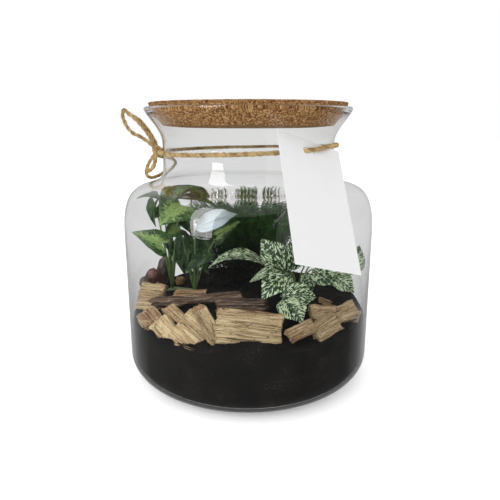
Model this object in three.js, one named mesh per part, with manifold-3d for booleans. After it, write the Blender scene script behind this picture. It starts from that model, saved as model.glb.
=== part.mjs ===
// Glass plant terrarium with a cork lid.
// A wide glass jar holds dark soil, split wood chips, stones and three kinds of plant.
// Jute twine is tied round the neck in a bow and carries a plain card tag.
// Millimetres, +Z up. The front faces -Y. The jar stands on Z = 0 at the origin.

import * as THREE from 'three';
import { mergeGeometries, mergeVertices } from 'three/addons/utils/BufferGeometryUtils.js';
import Module from 'manifold-3d';

const wasm = await Module();
wasm.setup();

// Jar
const BODY_R = 125;
const SIDE_R = 124.4;
const BASE_R = 91;
const HEEL_Z = 29;
const SHOULDER_Z = 154;
const NECK_R = 84.7;
const NECK_Z0 = 220;
const NECK_Z1 = 240.4;
const LIP_R = 100.9;
const LIP_Z = 270.3;
// Thickness of the glass wall at some heights: the blown shoulder is the thinnest.
const WALLS = [[0, 3], [30, 2.4], [75, 2], [154, 1.6], [240, 1.6], [261, 2.6], [272, 4]];
const HEEL_WALL = 2.4;
const LIP = [[100.5, 273], [98.4, 273.6], [96.6, 273.4], [95.3, 271.8]];
const FLOOR_Z = 3;
const JAR_SEGMENTS = 32;
const CURVE_STEPS = 3;

// Cork lid
const CORK_TOP_R = 97;
const CORK_TOP_Z = 277.8;
const CORK_BOTTOM_R = 84.5;
const CORK_BOTTOM_Z = 257.5;

// Soil
const SOIL_Z = 76;
const SOIL_R = 122.1;
const ROOM_R = 121.9;
const GAP = 0.3;

// Twine and tag
const TWINE_R = 2.2;
const TAG_W = 73.2;
const TAG_H = 118.9;
const TAG_T = 0.6;
const TAG_HOLE_R = 3.6;
const TAG_HOLE_X = -5.2;
const TAG_HOLE_DROP = 11.3;
const TAG_TURN = THREE.MathUtils.degToRad(43.7);
const TAG_LEAN = THREE.MathUtils.degToRad(-30.5);
const TAG_ROLL = THREE.MathUtils.degToRad(18.9);
const TAG_HOLE_AT = new THREE.Vector3(49.5, -78.6, 236);

// Leaves
const BLADE_T = 0.8;
const STALK_R = 1.2;
const STALK_SIDES = 3;
const STALK_STEPS = 3;

const SLIVER = 0.02;

const V = (x, y, z) => new THREE.Vector3(x, y, z);

// Seeded random numbers from 0 to 1, the same every time.
function randomFrom(seed) {
  let state = seed >>> 0;
  return () => {
    state = (Math.imul(state, 1664525) + 1013904223) >>> 0;
    return state / 4294967296;
  };
}

function smooth(from, to, value) {
  const t = THREE.MathUtils.clamp((value - from) / (to - from), 0, 1);
  return t * t * (3 - 2 * t);
}

// Joining and cutting

function welded(geometry) {
  const plain = geometry.clone();
  plain.deleteAttribute('normal');
  plain.deleteAttribute('uv');
  const merged = mergeVertices(plain, 1e-4);
  const index = merged.index.array;
  const kept = [];
  for (let i = 0; i < index.length; i += 3) {
    const [a, b, c] = [index[i], index[i + 1], index[i + 2]];
    if (a !== b && b !== c && c !== a) kept.push(a, b, c);
  }
  merged.setIndex(kept);
  return merged;
}

function solidOf(geometry) {
  const shape = welded(geometry);
  return new wasm.Manifold(new wasm.Mesh({
    numProp: 3,
    vertProperties: new Float32Array(shape.attributes.position.array),
    triVerts: new Uint32Array(shape.index.array),
  }));
}

function geometryOf(solid) {
  const mesh = solid.getMesh();
  const points = new Float32Array(mesh.numVert * 3);
  for (let i = 0; i < mesh.numVert; i += 1) {
    for (let k = 0; k < 3; k += 1) {
      points[i * 3 + k] = mesh.vertProperties[i * mesh.numProp + k];
    }
  }
  const geometry = new THREE.BufferGeometry();
  geometry.setAttribute('position', new THREE.BufferAttribute(points, 3));
  geometry.setIndex(Array.from(mesh.triVerts));
  return geometry;
}

// The biggest closed piece of a solid. Cuts can leave a loose splinter, which is dropped.
function largest(solid) {
  const pieces = solid.decompose();
  return pieces.reduce((best, piece) => (piece.volume() > best.volume() ? piece : best));
}

// Many pieces grown into one. Slivers thinner than "SLIVER" along the seams are smoothed away.
function joined(solids) {
  let queue = solids.slice();
  while (queue.length > 1) {
    const next = [];
    for (let i = 0; i < queue.length; i += 2) {
      next.push(i + 1 < queue.length ? queue[i].add(queue[i + 1]) : queue[i]);
    }
    queue = next;
  }
  return queue[0].simplify(SLIVER);
}

function cutBy(solid, cutters) {
  return cutters.reduce((left, cutter) => left.subtract(cutter), solid);
}

// Round things turned about the jar's axis

function turned(path, divisions, segments) {
  const points = path.getPoints(divisions);
  return new THREE.LatheGeometry(points, segments).rotateX(Math.PI / 2);
}

function jarGeometry() {
  const outside = new THREE.Path();
  outside.moveTo(0, 0);
  outside.lineTo(BASE_R, 0);
  outside.absellipse(BASE_R, HEEL_Z, SIDE_R - BASE_R, HEEL_Z, -Math.PI / 2, 0, false);
  outside.lineTo(BODY_R, SHOULDER_Z);
  outside.bezierCurveTo(BODY_R, 173.7, 122.6, 193.7, 106, 198.6);
  outside.bezierCurveTo(87.9, 203.8, NECK_R, 204, NECK_R, NECK_Z0);
  outside.lineTo(NECK_R, NECK_Z1);
  outside.bezierCurveTo(NECK_R, 250.5, 96.8, 262.3, LIP_R, LIP_Z);
  const outer = outside.getPoints(CURVE_STEPS);
  const inner = inset(outer.slice(1)).slice(0, -1).reverse();
  const lip = LIP.map(([radius, height]) => new THREE.Vector2(radius, height));
  const section = [...outer, ...lip, ...inner, new THREE.Vector2(0, FLOOR_Z)];
  return new THREE.LatheGeometry(section, JAR_SEGMENTS).rotateX(Math.PI / 2);
}

// The jar's section line moved inwards by the thickness of the wall there.
function inset(line) {
  return line.map((point, i) => {
    const before = line[Math.max(i - 1, 0)];
    const after = line[Math.min(i + 1, line.length - 1)];
    const along = after.clone().sub(before).normalize();
    const upper = Math.max(1, WALLS.findIndex((row) => row[0] >= point.y));
    const [[low, thin], [high, thick]] = [WALLS[upper - 1], WALLS[upper]];
    const wall = thin + ((thick - thin) * (point.y - low)) / (high - low);
    return new THREE.Vector2(point.x - wall * along.y, point.y + wall * along.x);
  });
}

function corkGeometry() {
  const side = new THREE.Path();
  side.moveTo(0, CORK_BOTTOM_Z);
  side.lineTo(CORK_BOTTOM_R - 1, CORK_BOTTOM_Z);
  side.lineTo(CORK_BOTTOM_R, CORK_BOTTOM_Z + 1);
  side.lineTo(94.6, 271.4);
  side.lineTo(CORK_TOP_R, CORK_TOP_Z - 1.2);
  side.lineTo(CORK_TOP_R - 1, CORK_TOP_Z);
  side.lineTo(0, CORK_TOP_Z);
  return turned(side, 1, JAR_SEGMENTS);
}

// Soil height at a place. The soil sinks a little where it meets the glass at the front corners.
function soilHeight(x, y) {
  const r = Math.hypot(x, y);
  const side = r > 1 ? Math.abs(x) / r : 0;
  const front = 1 - smooth(-20, 60, y);
  const depth = x < 0 ? 10 : 5;
  const drop = depth * smooth(88, 121, r) * smooth(0.06, 0.4, side) * front;
  const swell = 2.2 * Math.sin(0.031 * x + 0.6) * Math.cos(0.027 * y - 0.4);
  const lumps = 0.9 * Math.sin(0.19 * x + 1.3) * Math.sin(0.17 * y + 0.5);
  return SOIL_Z + swell + lumps - drop;
}

function soilGeometry() {
  const outline = new THREE.Path();
  const lift = FLOOR_Z + 0.4;
  outline.moveTo(0, lift);
  outline.lineTo(BASE_R, lift);
  outline.absellipse(BASE_R, HEEL_Z, SIDE_R - HEEL_WALL - BASE_R - 0.5, HEEL_Z - lift,
    -Math.PI / 2, 0, false);
  outline.lineTo(SOIL_R - 0.3, SOIL_Z);
  [104, 84, 60, 30, 0].forEach((radius) => outline.lineTo(radius, SOIL_Z));
  const soil = turned(outline, CURVE_STEPS, JAR_SEGMENTS);
  const at = soil.attributes.position;
  for (let i = 0; i < at.count; i += 1) {
    if (at.getZ(i) > SOIL_Z - 0.01) at.setZ(i, soilHeight(at.getX(i), at.getY(i)));
  }
  return soil;
}

// Tubes and stems along a curve

function sectionShape(radius, sides) {
  const shape = new THREE.Shape();
  for (let i = 0; i < sides; i += 1) {
    const angle = (i / sides) * Math.PI * 2;
    const [x, y] = [radius * Math.cos(angle), radius * Math.sin(angle)];
    if (i === 0) shape.moveTo(x, y);
    else shape.lineTo(x, y);
  }
  return shape;
}

function tube(points, radius, sides, steps) {
  const extrudePath = new THREE.CatmullRomCurve3(points, false, 'centripetal');
  return new THREE.ExtrudeGeometry(sectionShape(radius, sides), { steps, extrudePath });
}

// Twine

// The neck wrap: degrees round from the front, distance from the axis, height.
const NECK_ROUTE = [
  [-85.6, 87.8, 231.4], [-72, 87.3, 231.0], [-55, 87.3, 231.0], [-35, 87.3, 231.6],
  [-15, 87.3, 232.6], [0, 87.3, 233.3], [12, 87.7, 234.1], [22, 89.4, 234.9], [32.2, 92.2, 235.6],
  [42, 93.4, 237.0], [50, 92.6, 238.2], [60, 89.4, 238.4], [72, 87.4, 238.0], [95, 87.3, 237.2],
  [125, 87.3, 236.0], [155, 87.3, 235.0], [185, 87.3, 234.0], [215, 87.3, 233.0],
  [245, 87.3, 232.2], [265.6, 87.8, 231.9],
];
const NECK_STEPS = 42;

const KNOT_AT = V(-91.2, -1.5, 231.8);
const KNOT_SIZE = V(5.2, 5.6, 5.8);

// The bow's free parts. Each begins just off the knot.
const UPPER_LOOP = [
  [-95.2, -5.4, 236.9], [-99.4, -7.6, 241.2], [-105.6, -9, 245.6], [-113, -9.5, 249.4],
  [-118.5, -9.5, 256], [-121.8, -9, 266], [-120.4, -8, 270.8], [-116.2, -7, 267.6],
  [-110.2, -6, 262.2], [-103.6, -4.8, 254.8], [-98.2, -3.2, 246.6], [-94.4, -1.8, 239.2],
];
const LOWER_LOOP = [
  [-94.4, -1.6, 227.2], [-100.2, 1, 219.6], [-104, 6, 212.4], [-105, 12, 206.2],
  [-102.4, 18, 202.9], [-97, 26, 203.6], [-90.6, 34, 206.8], [-84, 39.6, 211.6],
  [-80.4, 41, 217.4], [-81.8, 36.4, 221.4], [-86.6, 26.6, 223.6], [-90.6, 14, 224.8],
  [-91.4, 5.2, 227],
];
const UPPER_TAIL = [
  [-91.4, 1.4, 237.4], [-95.6, 1.2, 246], [-101.6, 0.6, 255.2], [-108.2, 0, 262.4],
  [-117.2, -1, 267.2],
];
const LOWER_TAIL = [
  [-91.9, -4.6, 227.1], [-92.8, -8.6, 219.6], [-96, -9.6, 214.2], [-101.2, -9.4, 212.2],
];

function points3(list) {
  return list.map(([x, y, z]) => V(x, y, z));
}

// Follows the table above at even turns, so that the wrap keeps round between its rows.
function neckPoints() {
  const first = NECK_ROUTE[0][0];
  const last = NECK_ROUTE[NECK_ROUTE.length - 1][0];
  return Array.from({ length: NECK_STEPS + 1 }, (_, i) => {
    const degrees = first + ((last - first) * i) / NECK_STEPS;
    const next = Math.max(1, NECK_ROUTE.findIndex((row) => row[0] >= degrees - 1e-9));
    const [from, to] = [NECK_ROUTE[next - 1], NECK_ROUTE[next]];
    const share = smooth(from[0], to[0], degrees);
    const radius = THREE.MathUtils.lerp(from[1], to[1], share);
    const z = THREE.MathUtils.lerp(from[2], to[2], share);
    const angle = THREE.MathUtils.degToRad(degrees);
    return V(radius * Math.sin(angle), -radius * Math.cos(angle), z);
  });
}

function knotGeometry() {
  const knot = new THREE.SphereGeometry(1, 10, 6);
  knot.scale(KNOT_SIZE.x, KNOT_SIZE.y, KNOT_SIZE.z);
  return knot.translate(KNOT_AT.x, KNOT_AT.y, KNOT_AT.z);
}

// Tag: a plain card with a punched hole, worn into a slot by the slanting twine.

function tagPlace() {
  return new THREE.Matrix4().makeTranslation(TAG_HOLE_AT)
    .multiply(new THREE.Matrix4().makeRotationZ(TAG_TURN))
    .multiply(new THREE.Matrix4().makeRotationX(TAG_LEAN))
    .multiply(new THREE.Matrix4().makeRotationY(TAG_ROLL));
}

function tagSolid() {
  const card = new THREE.Shape();
  card.moveTo(-TAG_W / 2, 0);
  card.lineTo(-TAG_W / 2, -TAG_H);
  card.lineTo(TAG_W / 2, -TAG_H);
  card.lineTo(TAG_W / 2, 0);
  const hole = new THREE.Path();
  hole.absarc(TAG_HOLE_X, -TAG_HOLE_DROP, TAG_HOLE_R, 0, Math.PI * 2, true);
  card.holes.push(hole);
  const plate = new THREE.ExtrudeGeometry(card, {
    depth: TAG_T, bevelEnabled: false, curveSegments: 12,
  });
  plate.translate(-TAG_HOLE_X, TAG_HOLE_DROP, -TAG_T / 2);
  plate.rotateX(Math.PI / 2);
  plate.applyMatrix4(tagPlace());
  const passage = tube(neckPoints(), TWINE_R + GAP, 8, NECK_STEPS);
  return largest(solidOf(plate).subtract(solidOf(passage)));
}

// Chips, bark and stones

// A split slab. The ends are torn, the faces a little uneven. It grows by "grow" for a pocket.
function slabGeometry(spec, grow) {
  const { size, seed } = spec;
  const random = randomFrom(seed);
  const box = welded(new THREE.BoxGeometry(1, 1, 1, 4, 2, 1));
  const at = box.attributes.position;
  for (let i = 0; i < at.count; i += 1) {
    const [x, y, z] = [at.getX(i), at.getY(i), at.getZ(i)];
    const tear = Math.abs(x) > 0.49 ? 0.2 * random() : 0;
    const narrow = (spec.taper ?? 0) * (x + 0.5);
    at.setX(i, x * (1 - tear) + 0.03 * (random() - 0.5));
    at.setY(i, y * (1 - narrow) * (0.92 + 0.16 * random()));
    at.setZ(i, z * (0.8 + 0.35 * random()));
  }
  box.scale(size[0] + 2 * grow, size[1] + 2 * grow, size[2] + 2 * grow);
  return placed(box, spec);
}

// A weathered branch piece or a stone: a ball or drum pushed in and out by a seeded amount.
function lumpGeometry(spec, grow) {
  const { size, seed, sides, rows } = spec;
  const random = randomFrom(seed);
  const ball = spec.drum
    ? new THREE.CylinderGeometry(0.5, 0.44, 1, sides, rows).rotateZ(Math.PI / 2)
    : new THREE.SphereGeometry(0.5, sides, rows);
  const lump = welded(ball);
  const at = lump.attributes.position;
  for (let i = 0; i < at.count; i += 1) {
    const push = 1 - spec.rough * random();
    at.setY(i, at.getY(i) * push);
    at.setZ(i, at.getZ(i) * push);
    at.setX(i, at.getX(i) * (1 - 0.5 * spec.rough * random()));
  }
  lump.scale(size[0] + 2 * grow, size[1] + 2 * grow, size[2] + 2 * grow);
  return placed(lump, spec);
}

function placed(geometry, spec) {
  const turn = new THREE.Euler(...spec.turn.map(THREE.MathUtils.degToRad), 'ZYX');
  geometry.applyMatrix4(new THREE.Matrix4().makeRotationFromEuler(turn));
  return geometry.translate(...spec.at);
}

// at: centre. size: length, width, thickness. turn: degrees about X, Y and Z, Z first turned last.
const SLABS = [
  { name: 'chip_front_large', at: [1, -100, 82.5], size: [63, 31, 9], turn: [58, 8, 5], seed: 11 },
  { name: 'chip_stick', at: [-34, -104, 85], size: [45, 13, 8], turn: [66, 62, 4], seed: 12 },
  { name: 'chip_front_left', at: [-52, -91.5, 76], size: [32, 30, 8], turn: [52, 34, -24], seed: 13 },
  { name: 'chip_yellow', at: [-75, -81.5, 73], size: [29, 20, 8], turn: [50, 32, -40], seed: 14, taper: 0.2 },
  { name: 'chip_grey', at: [-70, -60, 80], size: [24, 12, 7], turn: [30, 22, -38], seed: 15 },
  { name: 'chip_dark_end', at: [-94, -55, 72], size: [24, 19, 13], turn: [20, 12, -56], seed: 16 },
  { name: 'chip_left_slab', at: [-101, -17, 83], size: [31, 28, 6], turn: [62, 0, -20], seed: 17 },
  { name: 'chip_yellow_back', at: [-61, -8, 82], size: [35, 16, 6], turn: [24, -2, 4], seed: 18, taper: 0.3 },
  { name: 'chip_sliver', at: [-56, -105, 67], size: [22, 3.8, 3.2], turn: [10, 8, -27], seed: 29 },
  { name: 'chip_red', at: [46, -101.5, 81], size: [28, 12, 8], turn: [48, -18, 22], seed: 20 },
  { name: 'chip_right_pale', at: [70, -64, 83], size: [27, 16, 7], turn: [40, 6, 10], seed: 21 },
  { name: 'chip_right_broken', at: [69, -85, 77], size: [31, 18, 8], turn: [48, -10, 40], seed: 22 },
  { name: 'chip_right_brown', at: [93, -56, 80.5], size: [27, 17, 7], turn: [50, -12, 26], seed: 23 },
  { name: 'chip_right_end', at: [102.5, -54, 74], size: [17, 8, 5], turn: [30, -58, 50], seed: 24 },
  { name: 'chip_small_stick', at: [79, -20, 79.2], size: [13.5, 4.6, 4.2], turn: [10, 14, -8],
    seed: 25, taper: 0.3 },
  { name: 'chip_green_stick', at: [82, -32, 77.4], size: [15, 4.4, 3.8], turn: [6, 8, -14], seed: 26 },
];

const LUMPS = [
  { name: 'bark_branch', at: [-51, -31, 85], size: [96, 16, 13], turn: [0, -4, 3], seed: 31,
    sides: 7, rows: 7, rough: 0.34, drum: true },
  { name: 'bark_chunk', at: [-7, -43, 83.5], size: [52, 19, 16], turn: [16, -4, -8], seed: 32,
    sides: 7, rows: 3, rough: 0.3, drum: true },
  { name: 'stone_grey', at: [-114, 16.2, 87], size: [14, 14, 18], turn: [0, 0, 0], seed: 33,
    sides: 8, rows: 6, rough: 0.08 },
  { name: 'stone_red', at: [-107.6, 28, 91], size: [17, 14, 23], turn: [0, 12, 0], seed: 34,
    sides: 8, rows: 6, rough: 0.1 },
  { name: 'stone_dark_tall', at: [-97, 41, 94], size: [18, 15, 44], turn: [0, 8, 20], seed: 35,
    sides: 8, rows: 7, rough: 0.16 },
  { name: 'husk_clump', at: [-79, 47, 80.3], size: [13, 10, 13], turn: [0, 0, 0], seed: 36,
    sides: 8, rows: 5, rough: 0.22 },
];

// Leaves

// Half outlines from the leaf's base to its tip, as shares of length and of full width.
const ARROW_HALF = [
  [-0.05, 0], [-0.34, 0.36], [-0.17, 0.5], [0.2, 0.43], [0.55, 0.25], [0.82, 0.1], [1, 0],
];
const OVAL_HALF = [
  [0, 0], [0.13, 0.32], [0.38, 0.5], [0.66, 0.42], [0.87, 0.17], [1, 0],
];

function outlinePoints(half, length, width) {
  const near = half.map(([x, y]) => [x * length, -y * width]);
  const far = near.slice(1, -1).reverse().map(([x, y]) => [x, -y]);
  return near.concat(far);
}

// A thin closed blade: the upper face is a disc of one or two rings drawn out to the outline,
// the lower face is the same disc set down by the thickness, and a wall joins them.
function bladeGeometry(outline, centreX, lift, thickness, rings) {
  const count = outline.length;
  const place = (ring, i) => {
    const [ox, oy] = outline[i % count];
    const share = ring / rings;
    return [centreX + (ox - centreX) * share, oy * share];
  };
  const face = (down) => {
    const disc = new THREE.RingGeometry(0, 1, count, rings);
    const at = disc.attributes.position;
    for (let ring = 0; ring <= rings; ring += 1) {
      for (let i = 0; i <= count; i += 1) {
        const [x, y] = place(ring, i);
        at.setXYZ(ring * (count + 1) + i, x, y, lift(x, y) - down);
      }
    }
    return disc;
  };
  const under = face(thickness);
  const flipped = Array.from(under.index.array);
  for (let i = 0; i < flipped.length; i += 3) {
    [flipped[i + 1], flipped[i + 2]] = [flipped[i + 2], flipped[i + 1]];
  }
  under.setIndex(flipped);
  const wall = new THREE.PlaneGeometry(1, 1, count, 1);
  const rim = wall.attributes.position;
  for (let i = 0; i <= count; i += 1) {
    const [x, y] = place(rings, i);
    rim.setXYZ(i, x, y, lift(x, y));
    rim.setXYZ(count + 1 + i, x, y, lift(x, y) - thickness);
  }
  return mergeGeometries([face(0), under, wall]);
}

// Turns a blade so that it runs from its base to its tip with its upper face towards "face".
function leafPlace(base, tip, facing) {
  const along = tip.clone().sub(base).normalize();
  const across = facing.clone().cross(along).normalize();
  const upward = along.clone().cross(across).normalize();
  return new THREE.Matrix4().makeBasis(along, across, upward).setPosition(base);
}

function leafLength(leaf) {
  return V(...leaf.base).distanceTo(V(...leaf.tip));
}

// Height of the upper face over the line from base to tip: arched, folded and waved.
function leafLift(leaf, x, y) {
  const length = leafLength(leaf);
  const s = x / length;
  const side = Math.abs(y) / (leaf.width / 2);
  const arch = leaf.arch * length * 4 * Math.max(s, -0.4) * (1 - s);
  const fold = leaf.fold * Math.abs(y);
  const wave = leaf.wave * Math.sin(9 * s + Math.sign(y) * 1.1) * side * side;
  return arch + fold + wave;
}

function leafMatrix(leaf) {
  return leafPlace(V(...leaf.base), V(...leaf.tip), V(...leaf.facing));
}

function leafSolid(leaf, half, centreShare) {
  const length = leafLength(leaf);
  const outline = outlinePoints(half, length, leaf.width);
  const lift = (x, y) => leafLift(leaf, x, y);
  const blade = bladeGeometry(outline, centreShare * length, lift, BLADE_T, leaf.rings ?? 2);
  return solidOf(blade.applyMatrix4(leafMatrix(leaf)));
}

// A stalk from the crown to the leaf's base, ending inside the blade.
function stalkSolid(leaf, crown) {
  const inBlade = (x) => V(x, 0, leafLift(leaf, x, 0) - BLADE_T / 2).applyMatrix4(leafMatrix(leaf));
  const middle = crown.clone().lerp(V(...leaf.base), 0.55).add(V(0, 0, 8));
  return solidOf(tube([crown, middle, inBlade(0), inBlade(2.4)], STALK_R, STALK_SIDES, STALK_STEPS));
}

const ARROW_CROWN = V(-86, 31, 76);
const ARROW_CROWN_RIGHT = V(-60, 22, 76);

const ARROW_LEAVES = [
  { name: 'far left', base: [-89, 4, 184], tip: [-112.5, -10, 185], facing: [-0.15, -0.75, 1],
    width: 13, arch: 0.16, fold: 0.2, wave: 0.8, root: 0, rings: 1 },
  { name: 'top', base: [-80, 2, 184], tip: [-46, 2, 192], facing: [0.1, -0.75, 1],
    width: 19, arch: 0.12, fold: 0.3, wave: 0.9, root: 1, rings: 1 },
  { name: 'middle', base: [-69, -6, 178], tip: [-88, -26, 160], facing: [0.1, -1, 0.75],
    width: 50, arch: 0.07, fold: 0.1, wave: 1.4, root: 0 },
  { name: 'top right', base: [-58, 8, 187], tip: [-30, 4, 171], facing: [0.45, -0.6, 1],
    width: 16, arch: 0.14, fold: 0.3, wave: 0.8, root: 1, rings: 1 },
  { name: 'curled', base: [-97.5, 6, 178], tip: [-96, -1, 154], facing: [-0.6, -1, 0.2],
    width: 15, arch: 0.12, fold: 0.5, wave: 0.8, root: 0, rings: 1 },
  { name: 'low left', base: [-87, -30, 144], tip: [-115.5, -26, 154], facing: [0.2, -1, 0.7],
    width: 25, arch: 0.1, fold: 0.16, wave: 1.4, root: 0 },
  { name: 'low middle', base: [-73, -8, 154], tip: [-86, -20, 145], facing: [0.2, -1, 0.6],
    width: 22, arch: 0.1, fold: 0.14, wave: 0.8, root: 0, rings: 1 },
  { name: 'pale', base: [-54, -8, 153], tip: [-11, -12, 170], facing: [0.05, -0.9, 1],
    width: 25, arch: 0.1, fold: 0.06, wave: 0.5, root: 1, half: OVAL_HALF, centre: 0.45,
    rings: 1 },
  { name: 'inner green', base: [-31, 4, 145], tip: [-8, 6, 159], facing: [0.1, -1, 0.5],
    width: 19, arch: 0.1, fold: 0.2, wave: 0.6, root: 1, rings: 1 },
  { name: 'inner dark', base: [-46, 8, 122], tip: [-68, 4, 104], facing: [0.1, -1, 0.6],
    width: 19, arch: 0.08, fold: 0.16, wave: 0.6, root: 1, rings: 1 },
  { name: 'inner dark high', base: [-60, 12, 139], tip: [-56, 5, 116], facing: [0, -1, 0.4],
    width: 17, arch: 0.08, fold: 0.2, wave: 0.6, root: 1, rings: 1 },
  { name: 'back left', base: [-84, 14, 172], tip: [-103, 8, 160], facing: [-0.1, -1, 0.6],
    width: 20, arch: 0.1, fold: 0.16, wave: 0.8, root: 0, rings: 1 },
  { name: 'back middle', base: [-70, 14, 163], tip: [-57, 8, 142], facing: [0.1, -1, 0.5],
    width: 20, arch: 0.1, fold: 0.16, wave: 0.8, root: 0, rings: 1 },
  { name: 'low back', base: [-78, 22, 128], tip: [-72, 16, 104], facing: [0, -1, 0.4],
    width: 22, arch: 0.08, fold: 0.2, wave: 0.6, root: 0, rings: 1 },
  { name: 'low back right', base: [-52, 24, 118], tip: [-43, 18, 96], facing: [0.1, -1, 0.4],
    width: 24, arch: 0.08, fold: 0.2, wave: 0.6, root: 1, rings: 1 },
];

function arrowPlantSolid() {
  const roots = [ARROW_CROWN, ARROW_CROWN_RIGHT];
  const parts = [solidOf(creepingStem(0))];
  ARROW_LEAVES.forEach((leaf) => {
    parts.push(leafSolid(leaf, leaf.half ?? ARROW_HALF, leaf.centre ?? 0.1));
    parts.push(stalkSolid(leaf, roots[leaf.root]));
  });
  return largest(joined(parts));
}

// The creeping stem that both crowns of the arrowhead plant grow from.
function creepingStem(grow) {
  const run = [
    V(-97, 36, 68), V(-86, 31, 75.5), V(-73, 26, 76.5), V(-60, 22, 75.5), V(-50, 18, 68),
  ];
  return tube(run, 2.6 + grow, 7, 8);
}

const SPECKLED_CROWN = V(52, -6, 79);

const SPECKLED_LEAVES = [
  { name: 'upright', base: [40, -12, 108], tip: [13, -3, 142], facing: [-0.1, -1, 0.5],
    width: 30, arch: 0.1, fold: 0.12, wave: 1.3 },
  { name: 'upright right', base: [44, -10, 109], tip: [50, -2, 144], facing: [0.2, -1, 0.3],
    width: 25, arch: 0.08, fold: 0.12, wave: 1.2 },
  { name: 'left', base: [41, -21, 110], tip: [13, -52, 92], facing: [-0.1, -0.9, 1],
    width: 29, arch: 0.14, fold: 0.12, wave: 1.4 },
  { name: 'front right', base: [31, -53, 96], tip: [66, -52, 95], facing: [0.1, -1, 1.1],
    width: 27, arch: 0.12, fold: 0.1, wave: 1.3 },
  { name: 'front', base: [33, -56, 94], tip: [50, -83, 80], facing: [0.1, -1, 1.1],
    width: 28, arch: 0.12, fold: 0.1, wave: 1.2 },
  { name: 'curled', base: [26, -20, 118], tip: [1, -29, 103], facing: [0.3, -0.4, 1],
    width: 9, arch: -0.1, fold: 0.5, wave: 0.5, rings: 1 },
  { name: 'arching', base: [20, -10, 114], tip: [-42, -12, 112], facing: [0, -0.35, 1],
    width: 20, arch: 0.26, fold: 0.2, wave: 0.8 },
  { name: 'under tag left', base: [56, -14, 106], tip: [66, -26, 92], facing: [0.2, -1, 0.5],
    width: 15, arch: 0.1, fold: 0.3, wave: 0.6, rings: 1 },
  { name: 'under tag', base: [66, -14, 112], tip: [86, -24, 98], facing: [0.1, -1, 0.8],
    width: 24, arch: 0.1, fold: 0.16, wave: 1.0, rings: 1 },
  { name: 'right', base: [84, -8, 104], tip: [109, -22, 89], facing: [0.2, -1, 1.1],
    width: 24, arch: 0.12, fold: 0.16, wave: 1.0 },
  { name: 'far right', base: [105.5, -14, 106], tip: [113, -16, 138], facing: [-0.2, -1, 0.1],
    width: 22, arch: 0.04, fold: 0.18, wave: 0.8, rings: 1 },
  { name: 'behind tag', base: [70, 0, 118], tip: [84, 4, 146], facing: [0.2, -1, 0.4],
    width: 26, arch: 0.08, fold: 0.14, wave: 1.2, rings: 1 },
  { name: 'back', base: [60, 10, 108], tip: [72, 34, 116], facing: [0, 0.2, 1],
    width: 24, arch: 0.14, fold: 0.14, wave: 1.2, rings: 1 },
];

function speckledPlantSolid() {
  const parts = [solidOf(standingStem(SPECKLED_CROWN, 3, 0))];
  SPECKLED_LEAVES.forEach((leaf) => {
    parts.push(leafSolid(leaf, OVAL_HALF, 0.45));
    parts.push(stalkSolid(leaf, SPECKLED_CROWN));
  });
  return largest(joined(parts));
}

// The part of a plant that stands in a plain hole in the soil.
function standingStem(at, radius, grow) {
  const post = new THREE.CylinderGeometry(radius + grow, radius + grow, 22 + 2 * grow, 8);
  post.rotateX(Math.PI / 2);
  return post.translate(at.x, at.y, at.z - 7);
}

// Fern

// root: where the stem leaves the soil. Then the way up to the tip. spread: longest side spray.
const FRONDS = [
  { name: 'fern_frond_left', root: [-24, 52], way: [[-27, 50, 124], [-35, 45, 154], [-46, 40, 170]],
    spread: 32, seed: 41 },
  { name: 'fern_frond_low_left', root: [-28, 42], way: [[-34, 41, 108], [-38, 38, 126], [-37, 34, 142]],
    spread: 26, seed: 42, sprays: 5 },
  { name: 'fern_frond_middle_left', root: [-10, 60], way: [[-12, 60, 122], [-14, 56, 152], [-20, 50, 167]],
    spread: 34, seed: 43 },
  { name: 'fern_frond_middle', root: [4, 52], way: [[6, 50, 120], [10, 48, 154], [12, 46, 173]],
    spread: 32, seed: 44 },
  { name: 'fern_frond_middle_right', root: [20, 66], way: [[24, 66, 122], [34, 64, 148], [48, 60, 162]],
    spread: 34, seed: 45 },
  { name: 'fern_frond_right', root: [32, 50], way: [[40, 48, 110], [52, 44, 136], [70, 40, 152]],
    spread: 28, seed: 46 },
  { name: 'fern_frond_back', root: [2, 76], way: [[0, 80, 114], [-4, 82, 138], [-12, 80, 156]],
    spread: 32, seed: 47 },
  { name: 'fern_frond_low', root: [14, 78], way: [[13, 83, 96], [11, 88, 112], [10, 90, 126]],
    spread: 36, seed: 48 },
];
const SPRAYS = 7;
const NEEDLES = 3;

function spike(from, direction, length, radius, tipRadius) {
  const cone = new THREE.CylinderGeometry(tipRadius, radius, length, 3, 1);
  cone.translate(0, length / 2, 0);
  const turn = new THREE.Quaternion().setFromUnitVectors(V(0, 1, 0), direction);
  cone.applyQuaternion(turn);
  return solidOf(cone.translate(from.x, from.y, from.z));
}

function frondRoot(frond) {
  return V(frond.root[0], frond.root[1], SOIL_Z);
}

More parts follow.
